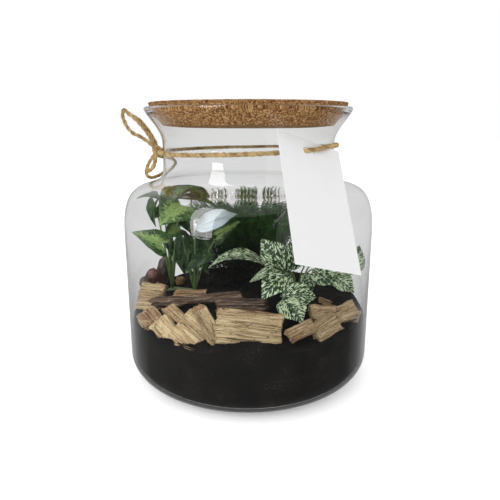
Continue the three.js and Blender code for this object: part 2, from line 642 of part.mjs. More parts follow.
function frondSolid(frond) {
  const random = randomFrom(frond.seed);
  const root = frondRoot(frond);
  const low = root.clone().add(V(0, 0, -12));
  const neck = root.clone().add(V(0, 0, 9));
  const points = [low, root, neck, ...points3(frond.way)];
  const stem = new THREE.CatmullRomCurve3(points, false, 'centripetal');
  const parts = [solidOf(tube(points, 1, 4, 7))];
  const sprays = frond.sprays ?? SPRAYS;
  for (let i = 0; i < sprays; i += 1) {
    const u = 0.42 + 0.57 * (i / (sprays - 1));
    const start = stem.getPointAt(Math.min(u, 0.995));
    const forward = stem.getTangentAt(Math.min(u, 0.995));
    const side = i % 2 === 0 ? 1 : -1;
    const level = V(side, -0.12 + 0.24 * random(), 0.1).normalize();
    const aim = level.multiplyScalar(0.86).addScaledVector(forward, 0.4).normalize();
    const reach = frond.spread * (0.4 + 0.6 * Math.sin(Math.PI * (0.2 + 0.72 * (1 - u) / 0.58)));
    parts.push(spike(start, aim, reach, 0.9, 0.5));
    for (let k = 0; k < NEEDLES; k += 1) {
      const along = (0.2 + 0.72 * (k / (NEEDLES - 1))) * reach;
      const foot = start.clone().addScaledVector(aim, along);
      const turnSide = k % 2 === 0 ? 1 : -1;
      const out = V(-aim.z, 0, aim.x).multiplyScalar(turnSide);
      const bearing = out.multiplyScalar(0.8).addScaledVector(aim, 0.6);
      bearing.y += 0.3 * (random() - 0.5);
      parts.push(spike(foot, bearing.normalize(), 6.5 + 2 * random(), 0.32, 0));
    }
  }
  return largest(joined(parts));
}

// Colours and finishes

function finish(hex, roughness, extra = {}) {
  return new THREE.MeshStandardMaterial({ color: hex, roughness, metalness: 0, ...extra });
}

const FINISH = {
  glass: finish(0xe6ecea, 0.05, { transparent: true, opacity: 0.3 }),
  cork: finish(0xb0834f, 0.9),
  soil: finish(0x262423, 0.95),
  wood: finish(0xcdb585, 0.85),
  bark: finish(0x64503f, 0.9),
  stone: finish(0x5a3c34, 0.7),
  husk: finish(0x7d5e2c, 0.9),
  twine: finish(0xc0a068, 0.9),
  card: finish(0xefefef, 0.7),
  arrow: finish(0x4f7a3a, 0.45),
  speckled: finish(0x6e9a58, 0.45),
  fern: finish(0x1f5a1c, 0.6),
};

const terrarium = new THREE.Group();
terrarium.name = 'glass_terrarium';

function addPiece(name, solid, material) {
  const mesh = new THREE.Mesh(geometryOf(solid), material);
  mesh.name = name;
  terrarium.add(mesh);
}

// Jar and lid
addPiece('jar_glass', solidOf(jarGeometry()), FINISH.glass);
addPiece('cork_lid', solidOf(corkGeometry()), FINISH.cork);

// Twine and tag
addPiece('twine_neck_wrap', solidOf(tube(neckPoints(), TWINE_R, 8, NECK_STEPS)), FINISH.twine);
addPiece('twine_knot', solidOf(knotGeometry()), FINISH.twine);
addPiece('twine_upper_loop', solidOf(tube(points3(UPPER_LOOP), 1.9, 8, 10)), FINISH.twine);
addPiece('twine_lower_loop', solidOf(tube(points3(LOWER_LOOP), 1.9, 8, 12)), FINISH.twine);
addPiece('twine_upper_tail', solidOf(tube(points3(UPPER_TAIL), 1.4, 8, 5)), FINISH.twine);
addPiece('twine_lower_tail', solidOf(tube(points3(LOWER_TAIL), 2.2, 8, 3)), FINISH.twine);
addPiece('card_tag', tagSolid(), FINISH.card);

// Chips, bark and stones lie in their own pockets. Each one is cut clear of those before it.
const pockets = [];
const insideGlass = solidOf(new THREE.CylinderGeometry(ROOM_R, ROOM_R, 60, JAR_SEGMENTS)
  .rotateX(Math.PI / 2).translate(0, 0, 90));
function addSettled(spec, make, material) {
  const solid = cutBy(solidOf(make(spec, 0)), pockets).intersect(insideGlass);
  pockets.push(solidOf(make(spec, GAP)));
  addPiece(spec.name, largest(solid), material);
}
const LUMP_FINISH = {
  bark_branch: FINISH.bark, bark_chunk: FINISH.bark, husk_clump: FINISH.husk,
};
SLABS.forEach((spec) => addSettled(spec, slabGeometry, FINISH.wood));
LUMPS.forEach((spec) => addSettled(spec, lumpGeometry, LUMP_FINISH[spec.name] ?? FINISH.stone));

// Plants
addPiece('arrowhead_plant', arrowPlantSolid(), FINISH.arrow);
addPiece('speckled_plant', speckledPlantSolid(), FINISH.speckled);
FRONDS.forEach((frond) => addPiece(frond.name, frondSolid(frond), FINISH.fern));

// Soil, with a pocket for everything that sits in it and a plain hole for every stem
const holes = [
  solidOf(creepingStem(GAP)),
  solidOf(standingStem(SPECKLED_CROWN, 3, GAP)),
  ...FRONDS.map((frond) => solidOf(standingStem(frondRoot(frond), 1, GAP))),
];
addPiece('soil', largest(cutBy(solidOf(soilGeometry()), [...pockets, ...holes])), FINISH.soil);

export default terrarium;
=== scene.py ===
"""Glass plant terrarium: finished pieces over the solid model.

The jar, cork, twine, tag, soil, chips, bark, stones and plants follow the sizes of the solids.
Lengths in the tables are millimetres and are turned to metres on use.
"""

import math
import random

import bmesh
import bpy
from bpy.props import FloatProperty, FloatVectorProperty, IntProperty, PointerProperty
from mathutils import Euler, Matrix, Vector, noise
from mathutils.geometry import interpolate_bezier
from mathutils.kdtree import KDTree


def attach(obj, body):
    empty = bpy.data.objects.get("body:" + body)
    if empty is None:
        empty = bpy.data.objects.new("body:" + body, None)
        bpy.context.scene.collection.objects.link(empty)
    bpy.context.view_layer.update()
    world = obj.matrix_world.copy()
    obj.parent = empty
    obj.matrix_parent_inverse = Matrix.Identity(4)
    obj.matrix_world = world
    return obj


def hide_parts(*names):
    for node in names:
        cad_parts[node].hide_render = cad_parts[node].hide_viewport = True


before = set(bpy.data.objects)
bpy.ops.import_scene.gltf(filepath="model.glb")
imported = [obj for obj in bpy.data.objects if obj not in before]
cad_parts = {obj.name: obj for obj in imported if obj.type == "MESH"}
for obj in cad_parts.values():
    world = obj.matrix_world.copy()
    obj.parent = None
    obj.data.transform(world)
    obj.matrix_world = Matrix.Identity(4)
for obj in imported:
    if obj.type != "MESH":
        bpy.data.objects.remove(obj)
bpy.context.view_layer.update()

bl_info = {
    "name": "Glass Plant Terrarium",
    "version": (1, 0, 0),
    "blender": (4, 5, 0),
    "location": "3D View > Sidebar > Terrarium",
    "description": "Builds the planted jar with its cork, twine and tag",
    "category": "Object",
}

MM = 0.001
# Vertices nearer to each other than this, in metres, become one
TOUCHING = 1e-7


def linear(red, green, blue):
    """A colour given as it looks on a screen, 0 to 255, as linear values."""

    def one(value):
        share = value / 255
        return share / 12.92 if share <= 0.04045 else ((share + 0.055) / 1.055) ** 2.4

    return (one(red), one(green), one(blue))


def colour_setting(name, description, default):
    """A colour that a user may change."""
    return FloatVectorProperty(
        name=name, description=description, default=default, subtype="COLOR", size=3, min=0, max=1
    )


class TerrariumSettings(bpy.types.PropertyGroup):
    """Sizes and colours of the terrarium."""

    jar_steps: IntProperty(
        name="Jar steps", description="Faces round the glass", default=150, min=24, max=256
    )
    twine_radius: FloatProperty(
        name="Twine radius", description="Radius of the twine round the neck", default=0.0022,
        unit="LENGTH",
    )
    twine_pitch: FloatProperty(
        name="Twine lay", description="Length of one full twist of the plies", default=0.0125,
        unit="LENGTH",
    )
    blade_thickness: FloatProperty(
        name="Leaf thickness", description="Thickness of a leaf blade", default=0.0004, unit="LENGTH"
    )
    cork_granule: FloatProperty(
        name="Cork granule", description="Width of a typical cork granule", default=0.0011,
        unit="LENGTH",
    )
    cork_colour: colour_setting("Cork", "Middle colour of the cork", linear(160, 113, 66))
    twine_colour: colour_setting("Twine", "Light colour of the jute", linear(206, 178, 126))
    card_colour: colour_setting("Card", "Colour of the blank tag", linear(240, 240, 240))
    soil_colour: colour_setting("Soil", "Colour of the damp soil", linear(21, 20, 19))
    wood_colour: colour_setting("Split wood", "Light colour of the chips", linear(200, 178, 136))
    bark_colour: colour_setting("Bark", "Middle colour of the bark", linear(104, 82, 66))
    arrow_colour: colour_setting("Arrowhead leaf", "Green of the leaf margins", linear(42, 78, 34))
    speckled_colour: colour_setting("Speckled leaf", "Dark green between specks", linear(20, 54, 24))
    fern_colour: colour_setting("Fern", "Green of the fern's needles", linear(80, 146, 44))


def settings():
    """The terrarium's settings on the current scene."""
    return bpy.context.scene.terrarium


# Numbers and lines


def smooth_step(low, high, value):
    """0 below low, 1 above high and an even swing between them."""
    share = min(max((value - low) / (high - low), 0.0), 1.0)
    return share * share * (3 - 2 * share)


def at_mm(x, y, z):
    """A place given in millimetres, in metres."""
    return Vector((x, y, z)) * MM


def distances(line):
    """How far along a line of short steps each of its points lies."""
    reach = [0.0]
    for before, after in zip(line, line[1:]):
        reach.append(reach[-1] + (after - before).length)
    return reach


def even_points(line, count):
    """Places at even distances along a line of many short steps."""
    reach = distances(line)
    places = []
    k = 0
    for i in range(count):
        goal = reach[-1] * i / (count - 1)
        while k < len(line) - 2 and reach[k + 1] < goal:
            k += 1
        step = reach[k + 1] - reach[k]
        share = (goal - reach[k]) / step if step > 0 else 0
        places.append(line[k].lerp(line[k + 1], min(max(share, 0), 1)))
    return places


def through(points, count):
    """A smooth line through the points, at even distances."""
    ends = [2 * points[0] - points[1], *points, 2 * points[-1] - points[-2]]
    fine = []
    for a, b, c, d in zip(ends, ends[1:], ends[2:], ends[3:]):
        knots = [0.0]
        for before, after in ((a, b), (b, c), (c, d)):
            knots.append(knots[-1] + max((after - before).length, 1e-9) ** 0.5)
        for i in range(16):
            t = knots[1] + (knots[2] - knots[1]) * i / 16
            first = [
                p + (q - p) * ((t - knots[k]) / (knots[k + 1] - knots[k]))
                for k, (p, q) in enumerate(((a, b), (b, c), (c, d)))
            ]
            second = [
                first[k] + (first[k + 1] - first[k]) * ((t - knots[k]) / (knots[k + 2] - knots[k]))
                for k in range(2)
            ]
            span = knots[2] - knots[1]
            fine.append(second[0] + (second[1] - second[0]) * ((t - knots[1]) / span))
    fine.append(points[-1].copy())
    return even_points(fine, count)


def through_mm(places, count):
    """The same through places given in millimetres, in metres."""
    return through([at_mm(*place) for place in places], count)


def cross_frames(line):
    """Two directions across the line at each of its points, without a sudden turn."""
    frames = []
    across = None
    for i in range(len(line)):
        ahead = line[min(i + 1, len(line) - 1)] - line[max(i - 1, 0)]
        ahead.normalize()
        if across is None:
            guess = Vector((0, 0, 1)) if abs(ahead.z) < 0.9 else Vector((1, 0, 0))
            across = guess.cross(ahead)
        across = (across - ahead * across.dot(ahead)).normalized()
        frames.append((across.copy(), ahead.cross(across)))
    return frames


# Mesh helpers


def mesh_of(bm, name):
    """A mesh with the shape of a bmesh, which is freed."""
    mesh = bpy.data.meshes.new(name)
    bm.to_mesh(mesh)
    bm.free()
    return mesh


def in_scene(name, data):
    """A new object in the scene."""
    added = bpy.data.objects.new(name, data)
    bpy.context.scene.collection.objects.link(added)
    return added


def piece_from(bm, name, material, node=None):
    """Makes a finished piece of a bmesh, riding on the part's one body."""
    mesh = mesh_of(bm, name)
    mesh.materials.append(material)
    mesh.shade_smooth()
    piece = in_scene(name, mesh)
    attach(piece, "root")
    if node:
        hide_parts(node)
    return piece


def evaluated_bmesh(piece):
    """The mesh of an object with its modifiers or bevel applied; the object is removed."""
    depsgraph = bpy.context.evaluated_depsgraph_get()
    shown = piece.evaluated_get(depsgraph)
    mesh = bpy.data.meshes.new_from_object(shown)
    bm = bmesh.new()
    bm.from_mesh(mesh)
    bpy.data.meshes.remove(mesh)
    data = piece.data
    bpy.data.objects.remove(piece)
    if isinstance(data, bpy.types.Curve):
        bpy.data.curves.remove(data)
    else:
        bpy.data.meshes.remove(data)
    return bm


def tubes(strands, radius, roundness):
    """Closed round tubes. A strand is a list of (place, share of the radius)."""
    curve = bpy.data.curves.new("strands", "CURVE")
    curve.dimensions = "3D"
    curve.bevel_depth = radius
    curve.bevel_resolution = roundness
    curve.use_fill_caps = True
    for strand in strands:
        spline = curve.splines.new("POLY")
        spline.points.add(len(strand) - 1)
        for point, (place, share) in zip(spline.points, strand):
            point.co = (*place, 1)
            point.radius = share
    bm = evaluated_bmesh(in_scene("strands", curve))
    bmesh.ops.remove_doubles(bm, verts=bm.verts, dist=TOUCHING)
    bmesh.ops.recalc_face_normals(bm, faces=bm.faces)
    return bm


def add_mesh(bm, extra):
    """Adds one bmesh to another; the one added is freed."""
    mesh = mesh_of(extra, "part")
    bm.from_mesh(mesh)
    bpy.data.meshes.remove(mesh)


def turned(outline, steps):
    """A bmesh spun from an outline of (radius, height)."""
    bm = bmesh.new()
    verts = [bm.verts.new((radius, 0, height)) for radius, height in outline]
    edges = [bm.edges.new(pair) for pair in zip(verts, verts[1:])]
    bmesh.ops.spin(
        bm, geom=verts + edges, cent=(0, 0, 0), axis=(0, 0, 1), angle=math.tau, steps=steps,
        use_merge=True,
    )
    bmesh.ops.remove_doubles(bm, verts=bm.verts, dist=TOUCHING)
    bmesh.ops.recalc_face_normals(bm, faces=bm.faces)
    return bm


def bend(start, handle_a, handle_b, end, steps=10):
    """Places on a Bezier bend after its start, as (radius, height)."""
    places = interpolate_bezier(
        *(Vector((r, z, 0)) for r, z in (start, handle_a, handle_b, end)), steps
    )
    return [(place.x, place.y) for place in places[1:]]


def quarter(centre, radii, start, end, steps=10):
    """Places on an ellipse after its start, as (radius, height). Angles in degrees."""
    angles = [math.radians(start + (end - start) * i / steps) for i in range(1, steps + 1)]
    return [
        (centre[0] + radii[0] * math.cos(a), centre[1] + radii[1] * math.sin(a)) for a in angles
    ]


# Material helpers


class Nodes:
    """A material's or a group's nodes, made and joined by short calls."""

    def __init__(self, tree):
        self.tree = tree

    def add(self, kind, **values):
        """A node; the values set its properties."""
        node = self.tree.nodes.new(kind)
        for key, value in values.items():
            setattr(node, key, value)
        return node

    def link(self, source, target):
        """Joins an output socket to an input socket."""
        self.tree.links.new(source, target)

    def give(self, socket, value):
        """Joins an output to an input, or sets the input; a colour may leave out its alpha."""
        if isinstance(value, bpy.types.NodeSocket):
            self.link(value, socket)
        elif socket.type == "RGBA" and len(value) == 3:
            socket.default_value = (*value, 1)
        else:
            socket.default_value = value

    def feed(self, node, **inputs):
        """Sets or joins inputs by name, with _ for a space."""
        for key, value in inputs.items():
            self.give(node.inputs[key.replace("_", " ")], value)

    def split(self, vector, kind="XYZ"):
        """The three parts of a vector (XYZ) or a colour (Color)."""
        node = self.add("ShaderNodeSeparate" + kind)
        self.link(vector, node.inputs[0])
        return node.outputs

    def coords(self, scale=(1, 1, 1), source=None):
        """Object coordinates, or a given vector, stretched by a Mapping node."""
        if source is None:
            source = self.add("ShaderNodeTexCoord").outputs["Object"]
        mapping = self.add("ShaderNodeMapping")
        self.feed(mapping, Vector=source, Scale=scale)
        return mapping.outputs["Vector"]

    def attribute(self, name, output="Vector"):
        """A piece's own stored coordinates or, from Fac, its stored number."""
        return self.add("ShaderNodeAttribute", attribute_name=name).outputs[output]

    def noise(self, vector, scale, detail=3, rough=0.55, distortion=0.0, output="Fac"):
        """Noise from 0 to 1, or three of them as a Color."""
        node = self.add("ShaderNodeTexNoise")
        self.feed(
            node, Vector=vector, Scale=scale, Detail=detail, Roughness=rough, Distortion=distortion
        )
        return node.outputs[output]

    def cells(self, vector, scale, feature="F1", output="Distance"):
        """Voronoi cells."""
        node = self.add("ShaderNodeTexVoronoi", feature=feature)
        self.feed(node, Vector=vector, Scale=scale)
        return node.outputs[output]

    def ramp(self, value, *stops):
        """Colours or greys along a value. A stop is (place, colour)."""
        node = self.add("ShaderNodeValToRGB")
        ramp = node.color_ramp
        while len(ramp.elements) < len(stops):
            ramp.elements.new(0.5)
        for element, (place, colour) in zip(ramp.elements, stops):
            element.position = place
            grey = isinstance(colour, (int, float))
            element.color = (colour, colour, colour, 1) if grey else (*colour, 1)
        self.feed(node, Fac=value)
        return node.outputs["Color"]

    def mix(self, share, first, second, kind="MIX", data="RGBA"):
        """Two colours, or two vectors, mixed by a share."""
        node = self.add("ShaderNodeMix", data_type=data, blend_type=kind)
        start, result = {"VECTOR": (4, 1), "RGBA": (6, 2)}[data]
        for number, value in ((0, share), (start, first), (start + 1, second)):
            self.give(node.inputs[number], value)
        return node.outputs[result]

    def maths(self, kind, first, second=0.0, third=0.0):
        """A sum, product or other step with numbers."""
        node = self.add("ShaderNodeMath", operation=kind)
        for socket, value in zip(node.inputs, (first, second, third)):
            self.give(socket, value)
        return node.outputs[0]

    def weighted(self, first, weight, second, other):
        """The first times its weight plus the second times its own."""
        part = self.maths("MULTIPLY", first, weight)
        return self.maths("ADD", part, self.maths("MULTIPLY", second, other))

    def mix_shaders(self, share, first, second):
        """The material's surface: two shaders mixed by a share."""
        node = self.add("ShaderNodeMixShader")
        for socket, value in zip(node.inputs, (share, first.outputs[0], second.outputs[0])):
            self.link(value, socket)
        self.link(node.outputs[0], self.tree.nodes["Material Output"].inputs["Surface"])

    def bump(self, height, distance, strength=1.0):
        """A bumped normal."""
        node = self.add("ShaderNodeBump")
        self.feed(node, Height=height, Distance=distance, Strength=strength)
        return node.outputs["Normal"]


def new_material(name):
    """A fresh material: its Nodes and its Principled shader."""
    material = bpy.data.materials.new(name)
    material.use_nodes = True
    nodes = Nodes(material.node_tree)
    return material, nodes, material.node_tree.nodes["Principled BSDF"]


def mottle_group():
    """Shared effect: a colour broken up by broad and fine patches, and a height for a bump."""
    known = bpy.data.node_groups.get("Mottle")
    if known:
        return known
    group = bpy.data.node_groups.new("Mottle", "ShaderNodeTree")
    for name, kind, way in (
        ("Vector", "NodeSocketVector", "INPUT"), ("Base", "NodeSocketColor", "INPUT"),
        ("Dark", "NodeSocketColor", "INPUT"), ("Scale", "NodeSocketFloat", "INPUT"),
        ("Amount", "NodeSocketFloat", "INPUT"), ("Color", "NodeSocketColor", "OUTPUT"),
        ("Height", "NodeSocketFloat", "OUTPUT"),
    ):
        group.interface.new_socket(name=name, in_out=way, socket_type=kind)
    nodes = Nodes(group)
    inside = nodes.add("NodeGroupInput")
    outside = nodes.add("NodeGroupOutput")
    broad = nodes.noise(inside.outputs["Vector"], inside.outputs["Scale"], 4, 0.6)
    fine_scale = nodes.maths("MULTIPLY", inside.outputs["Scale"], 6.0)
    fine = nodes.noise(inside.outputs["Vector"], fine_scale, 3, 0.6)
    blend = nodes.weighted(broad, 0.6, fine, 0.4)
    patches = nodes.ramp(blend, (0.36, 0.0), (0.64, 1.0))
    share = nodes.maths("MULTIPLY", patches, inside.outputs["Amount"])
    colour = nodes.mix(share, inside.outputs["Base"], inside.outputs["Dark"])
    nodes.feed(outside, Color=colour, Height=blend)
    return group


def mottled(nodes, vector, base, dark, scale, amount):
    """Places the shared effect; returns its colour and height."""
    node = nodes.add("ShaderNodeGroup", node_tree=mottle_group())
    nodes.feed(node, Vector=vector, Base=base, Dark=dark, Scale=scale, Amount=amount)
    return node.outputs["Color"], node.outputs["Height"]


# Stage

# The camera: the width of its picture, its focal length and the jar's axis, all in pixels, then
# its sensor in millimetres, its place in metres and how far it looks down in degrees
PICTURE_WIDTH = 500
FOCAL_LENGTH = 526
JAR_AXIS = 248.3
SENSOR_WIDTH = 36
CAMERA_AT = (0, -0.535, 0.2605)
LOOKS_DOWN = 13.78

# How bright the studio is: as a light, through the glass, and in reflections
ROOM_LIGHT = 0.57
THROUGH_GLASS = 0.8
FLOOR_THROUGH_GLASS = 0.68
ROOM_FRONT = 0.08
ROOM_BEHIND = 0.56

# How much of the floor seen straight through glass is this even level, a painted glow
FLOOR_EVENNESS = 0.85
# Half the floor's width in metres, and the painted glow that whitens it beyond the jar's foot, leaving
# a painted contact shadow round the foot: radius, level
FLOOR_SIZE = 6
FLOOR_PAINTED_GLOW = ((0.094, 0.0), (0.108, 0.4))

# A tall panel that leans over the jar from the front left, and the strip of light below it:
# place, width axis, direction away from the jar, width and height in metres, watts
SOFT_LIGHTS = {
    "panel": ((-0.71, -0.80, 0.77), (0.863, -0.506, 0), (-0.421, -0.718, 0.558), (0.46, 1.5), 20),
    "strip": ((-0.93, -1.177, 0.114), (0.785, -0.62, 0), (-0.62, -0.785, 0), (0.38, 0.022), 0.3),
}

# The broad light from above: strength, then its width and how it is turned in degrees
OVERHEAD_STRENGTH = 1.45
OVERHEAD_WIDTH = 75
OVERHEAD_TURN = (12, -8, 0)


def make_stage():
    """Camera, pale floor and soft light."""
    aim_camera()
    light_room()
    lay_floor()
    for name, values in SOFT_LIGHTS.items():
        soft_light(name, *values)
    overhead_light()
    bpy.context.scene.view_settings.view_transform = "Standard"


def aim_camera():
    """The camera, in front of the jar and looking a little down."""
    lens = bpy.data.cameras.new("camera")
    lens.sensor_width = SENSOR_WIDTH
    lens.lens = SENSOR_WIDTH * FOCAL_LENGTH / PICTURE_WIDTH
    lens.shift_x = (PICTURE_WIDTH / 2 - JAR_AXIS) / PICTURE_WIDTH
    lens.clip_start, lens.clip_end = 0.01, 20
    camera = in_scene("camera", lens)
    camera.location = CAMERA_AT
    camera.rotation_euler = (math.radians(90 - LOOKS_DOWN), 0, 0)
    bpy.context.scene.camera = camera


def light_room():
    """The surrounding light: white where the camera looks, light grey through the glass.

    Reflections see a dim room on the camera's side and a brighter one behind the jar.
    """
    world = bpy.data.worlds.new("studio")
    bpy.context.scene.world = world
    world.use_nodes = True
    sky = Nodes(world.node_tree)
    camera_ray, through_glass, _, mirrored = ray_kinds(sky)
    way = sky.split(sky.add("ShaderNodeTexCoord").outputs["Generated"])
    behind = sky.ramp(way[1], (0.25, 0.0), (0.8, 1.0))
    room = sky.maths("MULTIPLY_ADD", behind, ROOM_BEHIND, ROOM_FRONT)
    level = sky.maths("MULTIPLY", mirrored, sky.maths("SUBTRACT", room, ROOM_LIGHT))
    level = sky.maths("ADD", level, ROOM_LIGHT)
    level = sky.maths("MAXIMUM", level, sky.maths("MULTIPLY", through_glass, THROUGH_GLASS))
    level = sky.maths("MAXIMUM", level, camera_ray)
    sky.feed(world.node_tree.nodes["Background"], Color=(1, 1, 1), Strength=level)


def lay_floor():
    """The pale floor, with a painted glow beyond the jar's foot and painted glows at the room's own
    levels where it is seen in or through the glass.
    """
    material, nodes, shader = new_material("stage floor")
    _, through_glass, inside_glass, _ = ray_kinds(nodes)
    x, y, _ = nodes.split(nodes.coords())
    away = nodes.maths("MULTIPLY_ADD", y, y, nodes.maths("MULTIPLY", x, x))
    # Painted light: the floor glows beyond the jar's foot, and the ring round the foot without the
    # glow is a painted contact shadow.
    lift = nodes.ramp(nodes.maths("POWER", away, 0.5), *FLOOR_PAINTED_GLOW)
    nodes.feed(
        shader, Base_Color=(0.95, 0.95, 0.95), Roughness=0.9, Specular_IOR_Level=0.1,
        Emission_Color=(1, 1, 1), Emission_Strength=lift,
    )
    room = nodes.ramp(y, (0.0, 0.0), (0.45, 1.0))
    room = nodes.maths("MULTIPLY_ADD", room, ROOM_BEHIND, ROOM_FRONT)
    # Painted light: seen in or through the glass, the floor glows at set levels in place of its lit
    # colour.
    glow = nodes.add("ShaderNodeEmission")
    level = nodes.weighted(through_glass, FLOOR_THROUGH_GLASS, inside_glass, room)
    nodes.feed(glow, Color=(1, 1, 1), Strength=level)
    share = nodes.maths("MULTIPLY_ADD", through_glass, FLOOR_EVENNESS, inside_glass)
    nodes.mix_shaders(share, shader, glow)
    bm = bmesh.new()
    bmesh.ops.create_grid(bm, x_segments=1, y_segments=1, size=FLOOR_SIZE)
    floor = in_scene("stage_floor", mesh_of(bm, "stage_floor"))
    floor.data.materials.append(material)
    floor.visible_glossy = False


def ray_kinds(nodes):
    """Four masks: straight from the camera, straight through glass, turned back in glass, mirrored."""
    path = nodes.add("ShaderNodeLightPath")
    first = nodes.maths("LESS_THAN", path.outputs["Diffuse Depth"], 0.5)
    sent = nodes.maths("MULTIPLY", path.outputs["Is Transmission Ray"], first)
    unturned = nodes.maths("LESS_THAN", path.outputs["Glossy Depth"], 0.5)
    through_glass = nodes.maths("MULTIPLY", sent, unturned)
    inside_glass = nodes.maths("SUBTRACT", sent, through_glass)
    mirrored = nodes.maths("MULTIPLY", first, nodes.maths("SUBTRACT", 1.0, unturned))
    return path.outputs["Is Camera Ray"], through_glass, inside_glass, mirrored


def soft_light(name, place, wide, away, size, watts):
    """A soft rectangle of light that the glass mirrors; it lights no dull surface."""
    data = bpy.data.lights.new(name, "AREA")
    data.shape = "RECTANGLE"
    data.size, data.size_y = size
    data.energy = watts
    light = in_scene(name, data)
    back = Vector(away).normalized()
    side = (Vector(wide) - back * back.dot(Vector(wide))).normalized()
    turn = Matrix((side, back.cross(side), back)).transposed().to_4x4()
    light.matrix_world = Matrix.Translation(Vector(place)) @ turn
    light.visible_transmission = False
    light.visible_diffuse = False


def overhead_light():
    """A broad light from above, which the glass doesn't mirror."""
    data = bpy.data.lights.new("overhead", "SUN")
    data.energy = OVERHEAD_STRENGTH
    data.angle = math.radians(OVERHEAD_WIDTH)
    light = in_scene("overhead", data)
    light.rotation_euler = [math.radians(angle) for angle in OVERHEAD_TURN]
    light.visible_glossy = False


# Glass


def jar_outline():
    """The jar's section, from the outer middle of the base round the lip to the inner middle."""
    line = [(0, 0), (45, 0), (91, 0)]
    line += quarter((91, 29), (33.4, 29), -90, 0, 14)
    line += [(124.6, 75), (124.8, 118), (125, 154)]
    line += bend(line[-1], (125, 173.7), (122.6, 193.7), (106, 198.6), 20)
    line += bend(line[-1], (87.9, 203.8), (84.7, 204), (84.7, 220), 18)
    line += [(84.7, 231), (84.7, 240.4)]
    line += bend(line[-1], (84.7, 250.5), (96.8, 262.3), (100.9, 270.3), 14)
    inner = inset([place for place in line[2:] if place[1] < 267])
    line += bend(line[-1], (101.7, 272.2), (100.9, 273.6), (98.4, 273.6), 8)
    line += bend((96.6, 273.4), (95.9, 273.2), (95.6, 272.8), (95.3, 271.8), 4)
    line += inner[::-1] + [(45, 3), (0, 3)]
    return [(radius * MM, height * MM) for radius, height in line]


# Thickness of the jar's wall at some heights. It is finer than the solid's, so that the shoulder
# bends what is behind it less.
WALLS = [(0, 3), (30, 2.4), (75, 2), (154, 1.1), (225, 1.1), (240, 1.5), (261, 2.6), (272, 4)]


def inset(line):
    """The same section line moved inwards by the thickness of the wall there."""
    moved = []
    for i, (radius, height) in enumerate(line):
        upper = next(j for j, wall in enumerate(WALLS) if wall[0] >= height)
        (low, thin), (high, thick) = WALLS[max(upper - 1, 0)], WALLS[upper]
        wall = thin + (thick - thin) * (height - low) / max(high - low, 1)
        along = Vector(line[min(i + 1, len(line) - 1)]) - Vector(line[max(i - 1, 0)])
        along.normalize()
        moved.append((radius - wall * along.y, height + wall * along.x))
    return moved


def glass_material():
    """Clear glass that lets light fall on what is inside."""
    material, nodes, shader = new_material("clear glass")
    ripple = nodes.noise(nodes.coords(), 14, 2, 0.4)
    nodes.feed(
        shader, Base_Color=(0.985, 0.99, 0.985), Roughness=0.0, IOR=1.4, Metallic=0.0,
        Transmission_Weight=1.0, Normal=nodes.bump(ripple, 0.0006, 0.4),
    )
    path = nodes.add("ShaderNodeLightPath")
    clear = nodes.add("ShaderNodeBsdfTransparent")
    nodes.mix_shaders(path.outputs["Is Shadow Ray"], shader, clear)
    return material


def make_jar():
    """The glass jar, spun from its section."""
    bm = turned(jar_outline(), settings().jar_steps)
    piece_from(bm, "glass_jar", glass_material(), "jar_glass")


# Cork


def cork_material():
    """Pressed cork: packed granules in several browns with dark gaps."""
    size = settings().cork_granule
    base = settings().cork_colour
    material, nodes, shader = new_material("pressed cork")
    place = nodes.coords()
    warp = nodes.noise(place, 420, 2, 0.5, output="Color")
    where = nodes.mix(0.0016, place, warp, data="VECTOR")
    tone = nodes.split(nodes.cells(where, 1 / size, "F1", "Color"), "Color")[0]
    browns = nodes.ramp(
        tone, (0.0, linear(96, 58, 24)), (0.2, linear(128, 84, 42)), (0.45, base),
        (0.72, linear(186, 138, 84)), (1.0, linear(220, 178, 124)),
    )
    edge = nodes.cells(where, 1 / size, "DISTANCE_TO_EDGE")
    gap = nodes.ramp(edge, (0.0, 0.6), (0.09, 1.0))
    fine = nodes.noise(place, 2600, 2, 0.6)
    shade = nodes.mix(1.0, browns, gap, "MULTIPLY")
    speck = nodes.ramp(fine, (0.3, 0.62), (0.55, 1.06))
    height = nodes.weighted(gap, 0.7, fine, 0.5)
    nodes.feed(
        shader, Base_Color=nodes.mix(1.0, shade, speck, "MULTIPLY"), Roughness=0.88,
        Specular_IOR_Level=0.25, Normal=nodes.bump(height, 0.0006, 0.8),
    )
    return material


# Places from the lid's middle to its edge, on top, and how many it has round it
LID_RINGS = 38
LID_STEPS = 210
# How far the lid's granules stand out or sink in, in metres
GRANULE_DEPTH = 0.00016


def make_cork():
    """The cork lid, with a torn, granular skin."""
    line = [(0, 257.5), (30, 257.5), (60, 257.5), (80, 257.5), (83.7, 257.6), (84.5, 258.5)]
    line += [(84.5 + 10.1 * i / 10, 258.5 + 12.9 * i / 10) for i in range(1, 11)]
    line += [(95.6, 273.5), (96.6, 275.8), (96.9, 276.9), (96.3, 277.6), (95.2, 277.8)]
    line += [(95.2 - 95.2 * i / LID_RINGS, 277.8) for i in range(1, LID_RINGS + 1)]
    bm = turned([(r * MM, z * MM) for r, z in line], LID_STEPS)
    bm.normal_update()
    for vert in bm.verts:
        spot = vert.co * 420
        grain = noise.noise(spot) + 0.6 * noise.noise(spot * 2.3)
        vert.co += vert.normal * (GRANULE_DEPTH * (grain - 0.8))
    piece_from(bm, "cork_stopper", cork_material(), "cork_lid")


# Twine

